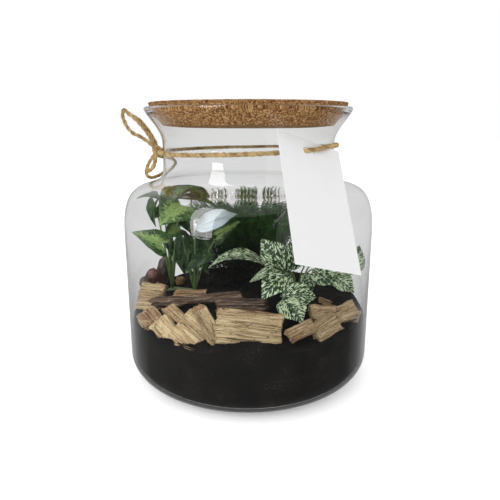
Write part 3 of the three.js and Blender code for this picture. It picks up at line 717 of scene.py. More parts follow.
# The wrap round the neck: degrees from the front, radius, height
NECK_ROUTE = [
    (-85.6, 87.8, 231.4), (-72, 87.3, 231.0), (-55, 87.3, 231.0), (-35, 87.3, 231.6),
    (-15, 87.3, 232.6), (0, 87.3, 233.3), (12, 87.7, 234.1), (22, 89.4, 234.9), (32.2, 92.2, 235.6),
    (42, 93.4, 237.0), (50, 92.6, 238.2), (60, 89.4, 238.4), (72, 87.4, 238.0), (95, 87.3, 237.2),
    (125, 87.3, 236.0), (155, 87.3, 235.0), (185, 87.3, 234.0), (215, 87.3, 233.0),
    (245, 87.3, 232.2), (265.6, 87.8, 231.9),
]
UPPER_LOOP = [
    (-95.2, -5.4, 236.9), (-99.4, -7.6, 241.2), (-105.6, -9, 245.6), (-113, -9.5, 249.4),
    (-118.5, -9.5, 256), (-121.8, -9, 266), (-120.4, -8, 270.8), (-116.2, -7, 267.6),
    (-110.2, -6, 262.2), (-103.6, -4.8, 254.8), (-98.2, -3.2, 246.6), (-94.4, -1.8, 239.2),
]
LOWER_LOOP = [
    (-94.4, -1.6, 227.2), (-100.2, 1, 219.6), (-104, 6, 212.4), (-105, 12, 206.2),
    (-102.4, 18, 202.9), (-97, 26, 203.6), (-90.6, 34, 206.8), (-84, 39.6, 211.6),
    (-80.4, 41, 217.4), (-81.8, 36.4, 221.4), (-86.6, 26.6, 223.6), (-90.6, 14, 224.8),
    (-91.4, 5.2, 227),
]
UPPER_TAIL = [
    (-91.4, 1.4, 237.4), (-95.6, 1.2, 246), (-101.6, 0.6, 255.2), (-108.2, 0, 262.4),
    (-117.2, -1, 267.2),
]
LOWER_TAIL = [(-91.9, -4.6, 227.1), (-92.8, -8.6, 219.6), (-96, -9.6, 214.2), (-101.2, -9.4, 212.2)]
# node: route, places along it, radius, loose fibres
FREE_RUNS = {
    "twine_upper_loop": (UPPER_LOOP, 110, 1.9, 190),
    "twine_lower_loop": (LOWER_LOOP, 140, 1.9, 170),
    "twine_upper_tail": (UPPER_TAIL, 44, 1.4, 90),
    "twine_lower_tail": (LOWER_TAIL, 26, 2.2, 50),
}
KNOT_AT = (-91.2, -1.5, 231.8)
KNOT_SIZE = (5.2, 5.6, 5.8)
KNOT_TURNS = 4.2
KNOT_PLY = 1.05 * MM
KNOT_PITCH = 8 * MM
# Two plies make the twine; each is this share of its radius, and as uneven as this
PLIES = 2
PLY_SHARE = 0.68
PLY_SWELL = 0.16
NECK_FIBRES = 620
FIBRE_RADIUS = 0.06 * MM
FIBRE_REACH = 6.5 * MM
# The frayed ends of both tails have more and longer fibres, over this many places
FRAYED_PLACES = 5
FRAYED_FIBRES = 40
FRAYED_REACH = 10 * MM


def neck_line():
    """The wrap round the neck, from one side of the knot to the other."""
    first, last = NECK_ROUTE[0][0], NECK_ROUTE[-1][0]
    count = 42
    places = []
    for i in range(count + 1):
        degrees = first + (last - first) * i / count
        k = next(j for j in range(1, len(NECK_ROUTE)) if NECK_ROUTE[j][0] >= degrees - 1e-9)
        before, after = NECK_ROUTE[k - 1], NECK_ROUTE[k]
        share = smooth_step(before[0], after[0], degrees)
        radius = before[1] + (after[1] - before[1]) * share
        height = before[2] + (after[2] - before[2]) * share
        angle = math.radians(degrees)
        places.append(at_mm(radius * math.sin(angle), -radius * math.cos(angle), height))
    return through(places, 560)


def twine_material():
    """Jute: pale and brown fibres along the plies."""
    material, nodes, shader = new_material("jute twine")
    along = nodes.coords((1, 1, 1), nodes.attribute("lay"))
    streak = nodes.noise(nodes.coords((60, 1500, 1500), along), 1.0, 3, 0.6)
    broad = nodes.noise(nodes.coords(), 110, 2, 0.5)
    colour = nodes.ramp(
        nodes.weighted(streak, 0.65, broad, 0.35), (0.3, linear(84, 58, 30)),
        (0.43, linear(140, 108, 66)), (0.54, settings().twine_colour), (0.72, linear(218, 196, 152)),
    )
    nodes.feed(
        shader, Base_Color=colour, Roughness=0.85, Specular_IOR_Level=0.3,
        Normal=nodes.bump(streak, 0.00035, 0.9),
    )
    return material


def ply_strands(line, offset, pitch, swell, seed):
    """The plies wound round a line, each a list of (place, share of the ply's radius)."""
    frames = cross_frames(line)
    run = distances(line)
    strands = []
    for ply in range(PLIES):
        strand = []
        for i, (place, (side, up)) in enumerate(zip(line, frames)):
            angle = math.tau * (run[i] / pitch + ply / PLIES)
            out = side * math.cos(angle) + up * math.sin(angle)
            uneven = 1 + swell * noise.noise(Vector((run[i] * 160, ply * 7.1, seed)))
            strand.append((place + out * offset, uneven))
        strands.append(strand)
    return strands


def mark_lay(bm, line):
    """Stores, at each vertex, its distance along the line and its place across it."""
    tree = KDTree(len(line))
    for i, place in enumerate(line):
        tree.insert(place, i)
    tree.balance()
    run = distances(line)
    frames = cross_frames(line)
    layer = bm.verts.layers.float_vector.new("lay")
    pitch = settings().twine_pitch
    for vert in bm.verts:
        _, index, _ = tree.find(vert.co)
        off = vert.co - line[index]
        side, up = frames[index]
        turn = -math.tau * run[index] / pitch
        a, b = off.dot(side), off.dot(up)
        across = a * math.cos(turn) - b * math.sin(turn)
        upward = a * math.sin(turn) + b * math.cos(turn)
        vert[layer] = (run[index], across, upward)


def fibre_strands(line, radius, count, seed, longest=FIBRE_REACH):
    """Loose hairs that stand off the twine."""
    rng = random.Random(seed)
    frames = cross_frames(line)
    hairs = []
    for _ in range(count):
        i = rng.randrange(len(line))
        side, up = frames[i]
        ahead = side.cross(up)
        angle = rng.uniform(0, math.tau)
        out = side * math.cos(angle) + up * math.sin(angle)
        start = line[i] + out * radius * 0.75
        reach = longest * rng.uniform(0.25, 1.0) ** 1.6
        lean = rng.uniform(-1.6, 1.6)
        curl = Vector([rng.uniform(-0.5, 0.5) for _ in range(3)])
        hair = []
        for k in range(4):
            t = k / 3
            place = start + (out * (0.7 * t) + ahead * (lean * t) + curl * t * t) * reach * 0.6
            hair.append((place, 1 - 0.6 * t))
        hairs.append(hair)
    return hairs


def make_twine():
    """The twine: neck wrap, knot, two loops and two tails, each two plies with loose fibres."""
    material = twine_material()
    runs = {"twine_neck_wrap": (neck_line(), settings().twine_radius)}
    for node, (route, count, radius, _) in FREE_RUNS.items():
        runs[node] = (through_mm(route, count), radius * MM)
    for number, (node, (line, radius)) in enumerate(runs.items()):
        ply = radius * PLY_SHARE
        strands = ply_strands(line, radius - ply, settings().twine_pitch, PLY_SWELL, number)
        bm = tubes(strands, ply, 3)
        mark_lay(bm, line)
        piece_from(bm, "jute_" + node[6:], material, node)
    make_knot(material)
    hairs = fibre_strands(*runs["twine_neck_wrap"], NECK_FIBRES, seed=5)
    piece_from(tubes(hairs, FIBRE_RADIUS, 0), "jute_fibres_neck", material)
    hairs = []
    for node, (_, _, _, count) in FREE_RUNS.items():
        hairs += fibre_strands(*runs[node], count, seed=len(node) + count)
    for node in ("twine_upper_tail", "twine_lower_tail"):
        line, radius = runs[node]
        end = line[-FRAYED_PLACES:]
        hairs += fibre_strands(end, radius, FRAYED_FIBRES, seed=53, longest=FRAYED_REACH)
    fuzz = piece_from(tubes(hairs, FIBRE_RADIUS, 0), "jute_fibres_bow", material)


def make_knot(material):
    """The knot: turns of twine laid over each other, and its leads to the loops and the tail."""
    centre = at_mm(*KNOT_AT)
    reach = [size - 2 * KNOT_PLY for size in at_mm(*KNOT_SIZE)]
    count = 220
    line = []
    for i in range(count):
        t = i / (count - 1)
        spin = math.tau * KNOT_TURNS * t
        flat = Vector((math.cos(spin), math.sin(spin), 0.25 * math.sin(spin * 0.5)))
        flat.rotate(Euler((0.5 + 1.9 * t, 2.6 * t, 1.1 * t)))
        line.append(centre + Vector([part * size for part, size in zip(flat, reach)]))
    bm = tubes(ply_strands(line, KNOT_PLY * 0.85, KNOT_PITCH, 0.12, 9), KNOT_PLY, 2)
    mark_lay(bm, line)
    for end in (UPPER_LOOP[0], UPPER_LOOP[-1], LOWER_LOOP[0], LOWER_LOOP[-1], UPPER_TAIL[0]):
        run = even_points([centre, at_mm(*end)], 14)
        lead = tubes(ply_strands(run, 0.7 * MM, KNOT_PITCH, 0.1, 4), KNOT_PLY, 2)
        mark_lay(lead, run)
        add_mesh(bm, lead)
    return piece_from(bm, "jute_knot", material, "twine_knot")


# Tag


def make_tag():
    """A plain card; the solid's own shape with a paper finish."""
    material, nodes, shader = new_material("plain card")
    colour, height = mottled(
        nodes, nodes.coords(), settings().card_colour, linear(235, 235, 236), 90, 0.4
    )
    fibre = nodes.noise(nodes.coords(), 2400, 2, 0.6)
    nodes.feed(
        shader, Base_Color=colour, Roughness=0.72, Specular_IOR_Level=0.3,
        Normal=nodes.bump(nodes.maths("ADD", height, fibre), 0.00008, 0.6),
    )
    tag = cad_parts["card_tag"]
    for place in tag.material_slots:
        place.material = material


# Soil

# Height of the soil and of the level below which its side is plain, places from its middle to the
# glass and round it, and the number of loose crumbs
SOIL_Z = 76
SOIL_SHELF = 58
SOIL_RINGS = 62
SOIL_STEPS = 160
CRUMBS = 1400


def soil_height(x, y):
    """Height of the soil at a place in millimetres; it sinks at the front corners."""
    r = math.hypot(x, y)
    side = abs(x) / r if r > 1 else 0
    front = 1 - smooth_step(-20, 60, y)
    depth = 10 if x < 0 else 5
    drop = depth * smooth_step(88, 121, r) * smooth_step(0.06, 0.4, side) * front
    swell = 2.2 * math.sin(0.031 * x + 0.6) * math.cos(0.027 * y - 0.4)
    lumps = 0.9 * math.sin(0.19 * x + 1.3) * math.sin(0.17 * y + 0.5)
    return SOIL_Z + swell + lumps - drop


def soil_material():
    """Damp dark soil with paler specks."""
    material, nodes, shader = new_material("damp soil")
    place = nodes.coords()
    crumb = nodes.cells(place, 520)
    fine = nodes.noise(place, 900, 4, 0.7)
    broad = nodes.noise(place, 45, 3, 0.5)
    colour = nodes.ramp(
        nodes.weighted(fine, 0.7, broad, 0.3), (0.35, linear(11, 10, 10)),
        (0.5, settings().soil_colour), (0.6, linear(34, 30, 27)), (0.68, linear(80, 68, 58)),
    )
    height = nodes.maths("SUBTRACT", fine, nodes.maths("MULTIPLY", crumb, 0.6))
    nodes.feed(
        shader, Base_Color=colour, Roughness=0.95, Specular_IOR_Level=0.1,
        Normal=nodes.bump(height, 0.0006, 0.5),
    )
    return material


def make_soil():
    """The body of soil against the glass, with a crumbly top."""
    line = [(0, 3.4), (45, 3.4), (91, 3.4)]
    line += quarter((91, 29), (30.5, 25.6), -90, 0, 12)
    line += [(121.6, 40), (121.7, 50), (121.8, SOIL_SHELF)]
    line += [(121.9, 60 + 2 * i) for i in range(8)]
    line += [(120.6, SOIL_Z), (119.6, SOIL_Z)]
    line += [(119.6 - 119.6 * i / SOIL_RINGS, SOIL_Z) for i in range(1, SOIL_RINGS + 1)]
    bm = turned([(r * MM, z * MM) for r, z in line], SOIL_STEPS)
    for vert in bm.verts:
        x, y, z = vert.co / MM
        r = math.hypot(x, y)
        spot = Vector((x, y, 0))
        crumble = 1.1 * noise.noise(spot * 0.22) + 0.8 * noise.noise(spot * 0.55 + Vector((9, 2, 4)))
        crumble += 0.4 * noise.noise(spot * 1.3)
        top = soil_height(x, y) + (crumble - 0.4)
        if z > SOIL_Z - 0.1 and r < 121:
            vert.co.z = top * MM
        elif z > SOIL_SHELF - 1:
            share = (z - SOIL_SHELF) / (SOIL_Z - 2 - SOIL_SHELF)
            vert.co.z = (SOIL_SHELF + share * (top - 1.2 - SOIL_SHELF)) * MM
        rough = noise.noise(Vector((x, y, z)) * 0.5)
        if r > 90 and z > 8:
            vert.co.x *= 1 - 0.0016 * (1 + rough)
            vert.co.y *= 1 - 0.0016 * (1 + rough)
    piece_from(bm, "potting_soil", soil_material(), "soil")
    scatter_crumbs()


def scatter_crumbs():
    """Small crumbs that lie on the soil and along the glass."""
    rng = random.Random(77)
    seed = bmesh.new()
    bmesh.ops.create_icosphere(seed, subdivisions=1, radius=1)
    for vert in seed.verts:
        vert.co *= 1 + 0.35 * noise.noise(vert.co * 2.1)
    shape = mesh_of(seed, "crumb")
    bm = bmesh.new()
    for i in range(CRUMBS):
        rim = i % 3 == 0
        angle = rng.uniform(0, math.tau)
        r = rng.uniform(117.5, 120.2) if rim else 119 * math.sqrt(rng.random())
        x, y = r * math.cos(angle), r * math.sin(angle)
        size = rng.uniform(0.35, 1.3) ** 1.4
        if rim:
            size = rng.uniform(0.35, 0.9)
        spot = at_mm(x, y, soil_height(x, y) - 0.2 + rng.uniform(-0.4, 0.7))
        turn = Euler([rng.uniform(0, math.tau) for _ in range(3)]).to_matrix().to_4x4()
        scale = Matrix.Diagonal((size * MM, size * 0.8 * MM, size * 0.65 * MM, 1))
        crumb = shape.copy()
        crumb.transform(Matrix.Translation(spot) @ turn @ scale)
        bm.from_mesh(crumb)
        bpy.data.meshes.remove(crumb)
    bpy.data.meshes.remove(shape)
    piece_from(bm, "soil_crumbs", bpy.data.materials["damp soil"])


# Chips, bark and stones

# node, centre, size, turn in degrees, tone from pale 0 to brown 1
CHIPS = [
    ("chip_front_large", (1, -100, 82.5), (63, 31, 9), (58, 8, 5), 0.3),
    ("chip_stick", (-34, -104, 85), (45, 13, 8), (66, 62, 4), 0.3),
    ("chip_front_left", (-52, -91.5, 76), (32, 30, 8), (52, 34, -24), 0.4),
    ("chip_yellow", (-75, -81.5, 73), (29, 20, 8), (50, 32, -40), 0.2),
    ("chip_grey", (-70, -60, 80), (24, 12, 7), (30, 22, -38), 0.75),
    ("chip_dark_end", (-94, -55, 72), (24, 19, 13), (20, 12, -56), 0.6),
    ("chip_left_slab", (-101, -17, 83), (31, 28, 6), (62, 0, -20), 0.5),
    ("chip_yellow_back", (-61, -8, 82), (35, 16, 6), (24, -2, 4), 0.2),
    ("chip_sliver", (-56, -105, 67), (22, 3.8, 3.2), (10, 8, -27), 0.8),
    ("chip_red", (46, -101.5, 81), (28, 12, 8), (48, -18, 22), 0.7),
    ("chip_right_pale", (70, -64, 83), (27, 16, 7), (40, 6, 10), 0.4),
    ("chip_right_broken", (69, -85, 77), (31, 18, 8), (48, -10, 40), 0.4),
    ("chip_right_brown", (93, -56, 80.5), (27, 17, 7), (50, -12, 26), 0.6),
    ("chip_right_end", (102.5, -54, 74), (17, 8, 5), (30, -58, 50), 0.5),
    ("chip_small_stick", (79, -20, 79.2), (13.5, 4.6, 4.2), (10, 14, -8), 0.7),
    ("chip_green_stick", (82, -32, 77.4), (15, 4.4, 3.8), (6, 8, -14), 0.5),
]
BARKS = [
    ("bark_branch", (-51, -31, 85), (96, 16, 13), (0, -4, 3), 0.0),
    ("bark_chunk", (-7, -43, 83.5), (52, 19, 16), (16, -4, -8), 0.4),
]


# Size of the small faces of a chip and of a short thin one, in metres. The front ones have the
# finest, and the others are this much coarser.
CHIP_VOXEL = 0.00056
THIN_CHIP_VOXEL = 0.00042
FRONT_CHIPS = 4
COARSER = 1.12
BARK_VOXEL = 0.00055
STONE_VOXEL = 0.0006


def remeshed_copy(node, voxel):
    """A bmesh copy of a solid, merged and remade of small even faces."""
    bm = bmesh.new()
    bm.from_mesh(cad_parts[node].data)
    bmesh.ops.remove_doubles(bm, verts=bm.verts, dist=1e-6)
    holder = in_scene("copy", mesh_of(bm, "copy"))
    remesh = holder.modifiers.new("Remesh", "REMESH")
    remesh.mode = "VOXEL"
    remesh.voxel_size = voxel
    remesh.adaptivity = 0
    bm = evaluated_bmesh(holder)
    bmesh.ops.recalc_face_normals(bm, faces=bm.faces)
    return bm


def smooth(bm, times):
    """Evens out a shape in small steps."""
    for _ in range(times):
        bmesh.ops.smooth_vert(
            bm, verts=bm.verts, factor=0.5, use_axis_x=True, use_axis_y=True, use_axis_z=True
        )


def own_frame(centre, turn):
    """From the part's frame to a chip's own frame, with its grain along X."""
    angles = [math.radians(a) for a in turn]
    spin = (
        Matrix.Rotation(angles[2], 4, "Z") @ Matrix.Rotation(angles[1], 4, "Y")
        @ Matrix.Rotation(angles[0], 4, "X")
    )
    return (Matrix.Translation(at_mm(*centre)) @ spin).inverted()


def carve_grain(bm, to_own, size, seed, depth, ridge_scale, end_tear):
    """Cuts fibres along the grain and tears the two ends."""
    grain = bm.verts.layers.float_vector.new("grain")
    crown = bm.verts.layers.float.new("crown")
    half = size[0] * MM / 2
    bm.normal_update()
    shift = Vector((seed * 0.37, seed * 0.11, seed * 0.23))
    moves = []
    for vert in bm.verts:
        own = to_own @ vert.co
        vert[grain] = own + shift
        vert[crown] = smooth_step(0.72, 0.92, vert.normal.z)
        across = Vector((own.x * 28, own.y * ridge_scale, own.z * ridge_scale)) + shift * 31
        groove = noise.noise(across) + 0.55 * noise.noise(across * 2.4)
        steps = noise.noise(Vector((own.x * 9, own.y * 190, own.z * 190)) + shift * 17)
        groove += 2.2 * (round(steps * 4) / 4 * 0.7 + steps * 0.3)
        near_end = smooth_step(0.84, 0.97, abs(own.x) / half)
        flat = 1 - near_end
        which = seed + (3 if own.x > 0 else 8)
        tear = noise.noise(Vector((own.y * 420, own.z * 420, which)))
        tear += 0.7 * noise.noise(Vector((own.y * 1300, own.z * 1300, which)))
        pull = to_own.inverted().to_3x3() @ Vector((math.copysign(1, own.x), 0, 0))
        moves.append(vert.normal * (depth * groove * flat) + pull * (end_tear * tear * near_end))
    for vert, move in zip(bm.verts, moves):
        vert.co += move


def wood_material():
    """Raw split wood: fibres, growth bands, small pits and a browner upper side."""
    material, nodes, shader = new_material("split wood")
    own = nodes.attribute("grain")
    fibre = nodes.noise(nodes.coords((45, 1700, 1700), own), 1.0, 4, 0.65)
    band = nodes.noise(nodes.coords((16, 480, 620), own), 1.0, 3, 0.6, 0.4)
    blend = nodes.weighted(fibre, 0.55, band, 0.45)
    pale = nodes.ramp(
        blend, (0.37, linear(112, 88, 60)), (0.44, linear(160, 138, 102)),
        (0.51, settings().wood_colour), (0.62, linear(226, 212, 178)),
    )
    brown = nodes.ramp(
        blend, (0.37, linear(72, 48, 34)), (0.45, linear(124, 88, 62)), (0.54, linear(168, 136, 100)),
        (0.65, linear(204, 180, 142)),
    )
    blotch = nodes.noise(nodes.coords((40, 130, 130), own), 1.0, 2, 0.5)
    blotch = nodes.ramp(blotch, (0.35, 0.35), (0.62, 1.25))
    share = nodes.maths("MULTIPLY", nodes.attribute("tone", "Fac"), blotch)
    crown = nodes.maths("MULTIPLY", nodes.attribute("crown", "Fac"), 0.9)
    colour = nodes.mix(nodes.maths("MAXIMUM", share, crown), pale, brown)
    pits = nodes.noise(nodes.coords((330, 760, 760), own), 1.0, 2, 0.6)
    cracks = nodes.noise(nodes.coords((22, 620, 620), own), 1.0, 2, 0.5, 0.3)
    pits = nodes.ramp(pits, (0.33, 0.2), (0.38, 1.0))
    cracks = nodes.ramp(cracks, (0.3, 0.25), (0.36, 1.0))
    dark = nodes.maths("MULTIPLY", pits, cracks)
    height = nodes.maths("ADD", fibre, nodes.maths("MULTIPLY", dark, 0.4))
    nodes.feed(
        shader, Base_Color=nodes.mix(1.0, colour, dark, "MULTIPLY"), Roughness=0.8,
        Specular_IOR_Level=0.25, Normal=nodes.bump(height, 0.0005, 0.9),
    )
    return material


def set_tone(bm, value):
    """Stores one value all over a piece."""
    layer = bm.verts.layers.float.new("tone")
    for vert in bm.verts:
        vert[layer] = value


def make_chips():
    """The split wood chips, each carved from its own solid."""
    material = wood_material()
    for number, (node, centre, size, turn, tone) in enumerate(CHIPS):
        voxel = CHIP_VOXEL if max(size) > 20 else THIN_CHIP_VOXEL
        bm = remeshed_copy(node, voxel if number < FRONT_CHIPS else voxel * COARSER)
        carve_grain(
            bm, own_frame(centre, turn), size, number + 1, depth=0.00046, ridge_scale=560,
            end_tear=0.0026,
        )
        set_tone(bm, tone)
        piece_from(bm, "split_" + node, material, node)


def bark_material():
    """Weathered bark: long grey-brown ridges with pale tops; the colour follows the bump's height,
    with painted shade in the furrows and a painted highlight on the tops.
    """
    material, nodes, shader = new_material("weathered bark")
    own = nodes.attribute("grain")
    ridge = nodes.noise(nodes.coords((26, 420, 420), own), 1.0, 4, 0.62)
    fine = nodes.noise(nodes.coords((90, 1500, 1500), own), 1.0, 3, 0.6)
    blend = nodes.weighted(ridge, 0.65, fine, 0.35)
    # Painted shade and highlight: the colour follows the same height as the bump, near black in the
    # furrows and pale on the ridge tops; the browns between are the bark's own.
    colour = nodes.ramp(
        blend, (0.38, linear(26, 21, 18)), (0.46, linear(66, 53, 43)),
        (0.53, settings().bark_colour), (0.59, linear(140, 118, 98)), (0.68, linear(190, 174, 154)),
    )
    nodes.feed(
        shader, Base_Color=colour, Roughness=0.82, Specular_IOR_Level=0.3,
        Normal=nodes.bump(blend, 0.0009, 0.9),
    )
    return material


def make_bark():
    """The branch and the bark piece across the middle."""
    material = bark_material()
    for number, (node, centre, size, turn, tone) in enumerate(BARKS):
        bm = remeshed_copy(node, BARK_VOXEL)
        smooth(bm, 1)
        carve_grain(
            bm, own_frame(centre, turn), size, number + 31, depth=0.001, ridge_scale=230,
            end_tear=0.005,
        )
        set_tone(bm, tone)
        piece_from(bm, "rough_" + node, material, node)


def stone_material(name, pale, dark):
    """A dull, mottled stone or husk."""
    material, nodes, shader = new_material(name)
    colour, height = mottled(nodes, nodes.coords(), pale, dark, 160, 1.0)
    nodes.feed(shader, Base_Color=colour, Roughness=0.55, Normal=nodes.bump(height, 0.0006, 0.7))
    return material


def make_stones():
    """Three stones and the fibrous husk by the left glass."""
    colours = {
        "stone_grey": (linear(104, 88, 82), linear(66, 52, 48)),
        "stone_red": (linear(122, 72, 56), linear(78, 42, 36)),
        "stone_dark_tall": (linear(84, 56, 44), linear(40, 26, 22)),
        "husk_clump": (linear(168, 132, 70), linear(96, 66, 32)),
    }
    for number, (node, (pale, dark)) in enumerate(colours.items()):
        bm = remeshed_copy(node, STONE_VOXEL)
        smooth(bm, 6)
        bm.normal_update()
        rough, slot = (0.0009, "husk") if node == "husk_clump" else (0.0004, "stone")
        for vert in bm.verts:
            grit = noise.noise(vert.co * 330 + Vector((number, 0, 0)))
            grit += 0.5 * noise.noise(vert.co * 900)
            vert.co += vert.normal * rough * grit
        piece_from(bm, "worn_" + node, stone_material("pebble " + node, pale, dark), node)


# Leaves

# Half a leaf's outline from its base round to its tip: share of the length, share of the width
ARROW_HALF = [
    (-0.05, 0), (-0.34, 0.36), (-0.17, 0.5), (0.2, 0.43), (0.55, 0.25), (0.82, 0.1), (1, 0),
]
OVAL_HALF = [(0, 0), (0.13, 0.32), (0.38, 0.5), (0.66, 0.42), (0.87, 0.17), (1, 0)]

# Where a leaf's middle lies between its base and its tip
ARROW_MIDDLE = 0.1
OVAL_MIDDLE = 0.45
# The leaf whose bluish white colour is a painted sheen, standing in for the light it shines back, has
# the oval outline
PAINTED_SHEEN_LEAF = "pale"
EDGE_STEPS = 32
BLADE_RINGS = 10
# Radii of the stalks, the creeping stem and the speckled plant's foot, in metres
STALK_RADIUS = 0.00105
STEM_RADIUS = 0.0024
FOOT_RADIUS = 0.0029

# name: base, tip, facing, width, arch, fold, wave, crown, share of pale colour
ARROW_LEAVES = {
    "far left": ((-89, 4, 184), (-112.5, -10, 185), (-0.15, -0.75, 1), 13, 0.16, 0.2, 0.8, 0, 0.3),
    "top": ((-80, 2, 184), (-46, 2, 192), (0.1, -0.75, 1), 19, 0.12, 0.3, 0.9, 1, 0.35),
    "middle": ((-69, -6, 178), (-88, -26, 160), (0.1, -1, 0.75), 50, 0.07, 0.1, 1.4, 0, 1),
    "top right": ((-58, 8, 187), (-30, 4, 171), (0.45, -0.6, 1), 16, 0.14, 0.3, 0.8, 1, 0.25),
    "curled": ((-97.5, 6, 178), (-96, -1, 154), (-0.6, -1, 0.2), 15, 0.12, 0.5, 0.8, 0, 0.1),
    "low left": ((-87, -30, 144), (-115.5, -26, 154), (0.2, -1, 0.7), 25, 0.1, 0.16, 1.4, 0, 1),
    "low middle": ((-73, -8, 154), (-86, -20, 145), (0.2, -1, 0.6), 22, 0.1, 0.14, 0.8, 0, 0.7),
    # The leaf called pale carries the painted sheen colour.
    "pale": ((-54, -8, 153), (-11, -12, 170), (0.05, -0.9, 1), 25, 0.1, 0.06, 0.5, 1, 1),
    "inner green": ((-31, 4, 145), (-8, 6, 159), (0.1, -1, 0.5), 19, 0.1, 0.2, 0.6, 1, 1),
    "inner dark": ((-46, 8, 122), (-68, 4, 104), (0.1, -1, 0.6), 19, 0.08, 0.16, 0.6, 1, 0),
    "inner dark high": ((-60, 12, 139), (-56, 5, 116), (0, -1, 0.4), 17, 0.08, 0.2, 0.6, 1, 0),
    "back left": ((-84, 14, 172), (-103, 8, 160), (-0.1, -1, 0.6), 20, 0.1, 0.16, 0.8, 0, 0.1),
    "back middle": ((-70, 14, 163), (-57, 8, 142), (0.1, -1, 0.5), 20, 0.1, 0.16, 0.8, 0, 0),
    "low back": ((-78, 22, 128), (-72, 16, 104), (0, -1, 0.4), 22, 0.08, 0.2, 0.6, 0, 0),
    "low back right": ((-52, 24, 118), (-43, 18, 96), (0.1, -1, 0.4), 24, 0.08, 0.2, 0.6, 1, 0),
}
ARROW_CROWNS = [(-86, 31, 76), (-60, 22, 76)]
CREEPING_STEM = [(-97, 36, 68), (-86, 31, 75.5), (-73, 26, 76.5), (-60, 22, 75.5), (-50, 18, 68)]

# Small dark leaves low in the crowd of stalks
YOUNG_LEAVES = {
    "young 1": ((-88, 16, 142), (-84, 12, 123), (0, -1, 0.35), 16, 0.1, 0.2, 0.6, 0, 0),
    "young 2": ((-80, 18, 134), (-75, 14, 115), (0.1, -1, 0.35), 17, 0.1, 0.2, 0.6, 0, 0),
    "young 3": ((-69, 18, 130), (-65, 14, 109), (-0.1, -1, 0.35), 18, 0.1, 0.2, 0.6, 1, 0.1),
    "young 4": ((-61, 17, 119), (-66, 13, 100), (0, -1, 0.35), 17, 0.1, 0.2, 0.6, 1, 0),
    "young 5": ((-54, 16, 140), (-50, 12, 122), (0.1, -1, 0.35), 16, 0.1, 0.2, 0.6, 1, 0),
    "young 6": ((-46, 14, 132), (-39, 10, 116), (0, -1, 0.35), 15, 0.1, 0.2, 0.6, 1, 0.2),
    "young 7": ((-71, 25, 119), (-70, 21, 95), (0, -1, 0.35), 24, 0.1, 0.2, 0.6, 1, 0),
}

SPECKLED_CROWN = (52, -6, 79)
SPECKLED_LEAVES = {
    "upright": ((40, -12, 108), (13, -3, 142), (-0.1, -1, 0.5), 30, 0.1, 0.12, 1.3, 0, 0.4),
    "upright right": ((44, -10, 109), (50, -2, 144), (0.2, -1, 0.3), 25, 0.08, 0.12, 1.2, 0, 0.3),
    "left": ((41, -21, 110), (13, -52, 92), (-0.1, -0.9, 1), 29, 0.14, 0.12, 1.4, 0, 0.35),
    "front right": ((31, -53, 96), (66, -52, 95), (0.1, -1, 1.1), 27, 0.12, 0.1, 1.3, 0, 0.55),
    "front": ((33, -56, 94), (50, -83, 80), (0.1, -1, 1.1), 28, 0.12, 0.1, 1.2, 0, 0.9),
    "curled": ((26, -20, 118), (1, -29, 103), (0.3, -0.4, 1), 9, -0.1, 0.5, 0.5, 0, 1),
    "arching": ((20, -10, 114), (-42, -12, 112), (0, -0.35, 1), 20, 0.26, 0.2, 0.8, 0, 0.6),
    "under tag left": ((56, -14, 106), (66, -26, 92), (0.2, -1, 0.5), 15, 0.1, 0.3, 0.6, 0, 0.2),
    "under tag": ((66, -14, 112), (86, -24, 98), (0.1, -1, 0.8), 24, 0.1, 0.16, 1.0, 0, 0.5),
    "right": ((84, -8, 104), (109, -22, 89), (0.2, -1, 1.1), 24, 0.12, 0.16, 1.0, 0, 0.9),
    "far right": ((105.5, -14, 106), (113, -16, 138), (-0.2, -1, 0.1), 22, 0.04, 0.18, 0.8, 0, 0.8),
    "behind tag": ((70, 0, 118), (84, 4, 146), (0.2, -1, 0.4), 26, 0.08, 0.14, 1.2, 0, 0.4),
    "back": ((60, 10, 108), (72, 34, 116), (0, 0.2, 1), 24, 0.14, 0.14, 1.2, 0, 0.4),
}


def leaf_matrix(base, tip, facing):
    """Base to tip along X, the upper face towards facing."""
    along = (Vector(tip) - Vector(base)).normalized()
    across = Vector(facing).cross(along).normalized()
    upward = along.cross(across)
    matrix = Matrix((along, across, upward)).transposed().to_4x4()
    return Matrix.Translation(Vector(base)) @ matrix


def leaf_lift(leaf, length, x, y):
    """Height of the upper face over the line from base to tip, in millimetres."""
    width, arch, fold, wave = leaf[3:7]
    s = x / length
    side = abs(y) / (width / 2)
    bow = arch * length * 4 * max(s, -0.4) * (1 - s)
    side_wave = wave * math.sin(9 * s + math.copysign(1.1, y)) * side * side if y else 0
    return bow + fold * abs(y) + side_wave


def smooth_outline(half, length, width, steps):
    """The whole outline as a closed smooth line, from the base round the tip and back."""
    near = [Vector((x * length, -y * width, 0)) for x, y in half]
    side = through(near, steps)
    other = [Vector((p.x, -p.y, 0)) for p in reversed(side[1:-1])]
    return side + other


